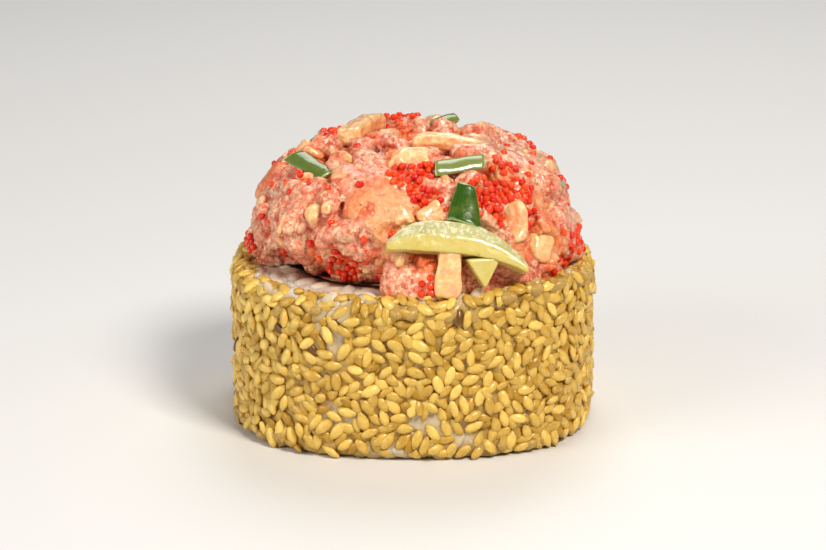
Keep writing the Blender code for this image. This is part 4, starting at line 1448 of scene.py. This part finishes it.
class URAMAKI_OT_cucumber(bpy.types.Operator):
    """Adds the cucumber slice and the wedge under it."""

    bl_idname = "uramaki.cucumber"
    bl_label = "Cucumber"

    def execute(self, context):
        material = cucumber_material()
        for name, mesh, place, node in (
            ("cucumber_half_moon", cucumber_mesh(), CUCUMBER_PLACE, "cucumber_slice"),
            ("cucumber_corner", wedge_mesh(), WEDGE_PLACE, "cucumber_wedge"),
        ):
            mesh.transform(heap_frame(*place))
            add_piece(name, mesh, material, node)
        return {"FINISHED"}


def scallion_mesh(length, width, curl, taper, draw):
    """A bit of spring onion: a curled sheet with a wall, along X, drawn in at one end."""
    bm = bmesh.new()
    bmesh.ops.create_grid(bm, x_segments=14, y_segments=16, size=0.5)
    bmesh.ops.scale(bm, verts=bm.verts, vec=(length, width, 1))
    radius = width / math.radians(curl)
    sink = radius * math.cos(math.radians(curl) / 2)
    offset = any_vector(draw, NOISE_SHIFT)
    for vert in bm.verts:
        vert.co.y *= 1 - taper * (0.5 + vert.co.x / length)
        angle = vert.co.y / radius
        wave = 0.00012 * noise.noise(vert.co / 0.002 + offset)
        vert.co.y = (radius + wave) * math.sin(angle)
        vert.co.z = (radius + wave) * math.cos(angle) - sink
        slip = 0.00015 * noise.noise(vert.co / 0.0011 - offset)
        vert.co.x += vert.co.y * SCALLION_SLANT + slip
    bmesh.ops.recalc_face_normals(bm, faces=bm.faces)
    if sum(face.normal.z for face in bm.faces) < 0:
        bmesh.ops.reverse_faces(bm, faces=bm.faces)
    outer = set(bm.verts)
    rim = {vert for vert in bm.verts if vert.is_boundary}
    bmesh.ops.solidify(bm, geom=bm.faces[:], thickness=SCALLION_WALL)
    inside = [float(vert not in outer) for vert in bm.verts]
    cut = [float(vert in rim) for vert in bm.verts]
    veins = []
    for vert in bm.verts:
        around = math.atan2(vert.co.y, vert.co.z + sink) * radius / SCALLION_VEIN
        veins.append(0.5 + 0.5 * math.sin(around + 1.5 * math.sin(vert.co.x / 0.0013)))
    mesh = mesh_from(bm, "scallion")
    for name, values in (("inside", inside), ("vein", veins), ("cut", cut)):
        set_attribute(mesh, name, values)
    return mesh


class URAMAKI_OT_scallions(bpy.types.Operator):
    """Adds the bits of spring onion."""

    bl_idname = "uramaki.scallions"
    bl_label = "Spring Onion"

    def execute(self, context):
        material = scallion_material()
        draw = random.Random(51)
        for number, row in enumerate(SCALLIONS, 1):
            azimuth, elevation, facing, turn, *size, raised, pale, taper = row
            mesh = scallion_mesh(*size, taper, draw)
            mesh.transform(heap_frame(azimuth, elevation, turn, raised, facing))
            set_attribute(mesh, "pale", pale)
            add_piece(f"spring_onion_{number}", mesh, material, f"scallion_{number}")
        return {"FINISHED"}


# The roe


def meshes_named(*starts):
    """The meshes of the pieces whose names start so."""
    pieces = [item for item in bpy.data.objects if "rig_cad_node" not in item]
    return [piece.data for piece in pieces if piece.name.startswith(starts)]


def roe_frames(draw):
    """Places for the eggs: clusters first, then single ones spread over the heap."""
    tree = tree_of(meshes_named("salmon_", "pale_"))
    clean = tree_of(meshes_named("cucumber_", "spring_", "crab_"))
    radius = sizes().egg_radius
    frames = []
    crowd = Crowd(radius * 1.36)

    def put(azimuth, elevation, aside=Vector((0, 0, 0))):
        """Adds an egg if there is salad under it and no other piece or egg."""
        hit = seat(tree, azimuth, elevation, aside)
        if hit is None or seat(clean, azimuth, elevation, aside) is not None:
            return False
        place, normal = hit
        place = place + normal * radius * draw.uniform(-0.45, 0.35)
        if place.z < sizes().slice_height + radius or crowd.near(place):
            return False
        crowd.add(place)
        angle = draw.uniform(0, math.tau)
        turn = Matrix.Rotation(angle, 4, Vector([draw.gauss(0, 1) for _ in range(3)]))
        frames.append(Matrix.Translation(place) @ turn @ Matrix.Scale(draw.uniform(0.9, 1.06), 4))
        return True

    for azimuth, elevation, spread, count in ROE_CLUSTERS:
        left = count
        for _ in range(count * CLUSTER_TRIES):
            if left:
                aside = Vector((draw.gauss(0, spread / 2.6), draw.gauss(0, spread / 2.6), 0))
                left -= put(azimuth, elevation, aside)
    left = sizes().loose_eggs
    for _ in range(left * LOOSE_TRIES):
        if left:
            left -= put(*anywhere_on_heap(draw, 0.05, 0.99))
    return frames


class URAMAKI_OT_roe(bpy.types.Operator):
    """Adds the fish eggs that lie on the salad."""

    bl_idname = "uramaki.roe"
    bl_label = "Roe"

    def execute(self, context):
        draw = random.Random(61)
        bm = bmesh.new()
        bmesh.ops.create_uvsphere(bm, u_segments=9, v_segments=6, radius=sizes().egg_radius)
        egg = mesh_from(bm, "egg")
        frames = roe_frames(draw)
        mesh, owners = joined([(egg, matrix) for matrix in frames], "roe")
        tones = [min(1.0, max(0.0, draw.gauss(0.5, 0.30))) for _ in frames]
        set_attribute(mesh, "tone", [tones[owner] for owner in owners])
        add_piece("fish_eggs", mesh, roe_material(), "salmon_salad")
        return {"FINISHED"}


# The stage


def linked_and_aimed(name, data, place, aim):
    """A new object in the scene that looks from a place at another."""
    item = linked(name, data)
    item.location = place
    item.rotation_euler = (Vector(aim) - Vector(place)).to_track_quat("-Z", "Y").to_euler()
    return item


class URAMAKI_OT_stage(bpy.types.Operator):
    """Adds the floor, the lights and the camera."""

    bl_idname = "uramaki.stage"
    bl_label = "Stage"

    def execute(self, context):
        scene = context.scene
        bm = bmesh.new()
        bmesh.ops.create_grid(bm, x_segments=1, y_segments=1, size=FLOOR_HALF_WIDTH)
        mesh = mesh_from(bm, "floor")
        mesh.materials.append(Shader("pale floor", FLOOR_ROUGHNESS).done(FLOOR_COLOUR))
        linked("floor", mesh)
        for name, (place, size, power, colour) in LIGHTS.items():
            light = bpy.data.lights.new(name, "AREA")
            light.size = size
            light.energy = power
            light.color = colour
            linked_and_aimed(name, light, place, LIGHTS_AIM)
        scene.world = bpy.data.worlds.new("studio")
        scene.world.use_nodes = True
        sky = scene.world.node_tree.nodes["Background"]
        sky.inputs["Color"].default_value = SKY_COLOUR
        sky.inputs["Strength"].default_value = SKY_STRENGTH
        camera = bpy.data.cameras.new("camera")
        camera.sensor_width = 36
        camera.lens = CAMERA_LENS
        camera.clip_start = 0.01
        scene.camera = linked_and_aimed("camera", camera, CAMERA_PLACE, CAMERA_AIM)
        scene.view_settings.view_transform = "Standard"
        scene.view_settings.look = "Medium High Contrast"
        return {"FINISHED"}


OPERATORS = (
    URAMAKI_OT_rice,
    URAMAKI_OT_sesame,
    URAMAKI_OT_nori,
    URAMAKI_OT_filling,
    URAMAKI_OT_salad,
    URAMAKI_OT_crab,
    URAMAKI_OT_cucumber,
    URAMAKI_OT_scallions,
    URAMAKI_OT_roe,
    URAMAKI_OT_stage,
)


class URAMAKI_PT_panel(bpy.types.Panel):
    """Lists the sizes, the colours and the pieces."""

    bl_idname = "URAMAKI_PT_panel"
    bl_label = "Uramaki Slice"
    bl_space_type = "VIEW_3D"
    bl_region_type = "UI"
    bl_category = "Uramaki"

    def draw(self, context):
        for group in (context.scene.uramaki_sizes, context.scene.uramaki_colours):
            column = self.layout.column()
            for label in group.bl_rna.properties.keys():
                if label not in ("rna_type", "name"):
                    column.prop(group, label)
        for operator in OPERATORS:
            self.layout.operator(operator.bl_idname)


CLASSES = (SliceSizes, SliceColours, *OPERATORS, URAMAKI_PT_panel)


def register():
    for item in CLASSES:
        bpy.utils.register_class(item)
    bpy.types.Scene.uramaki_sizes = bpy.props.PointerProperty(type=SliceSizes)
    bpy.types.Scene.uramaki_colours = bpy.props.PointerProperty(type=SliceColours)


def unregister():
    del bpy.types.Scene.uramaki_colours
    del bpy.types.Scene.uramaki_sizes
    for item in reversed(CLASSES):
        bpy.utils.unregister_class(item)


def main():
    register()
    for operator in OPERATORS:
        group, name = operator.bl_idname.split(".")
        getattr(getattr(bpy.ops, group), name)()


if __name__ == "__main__":
    main()
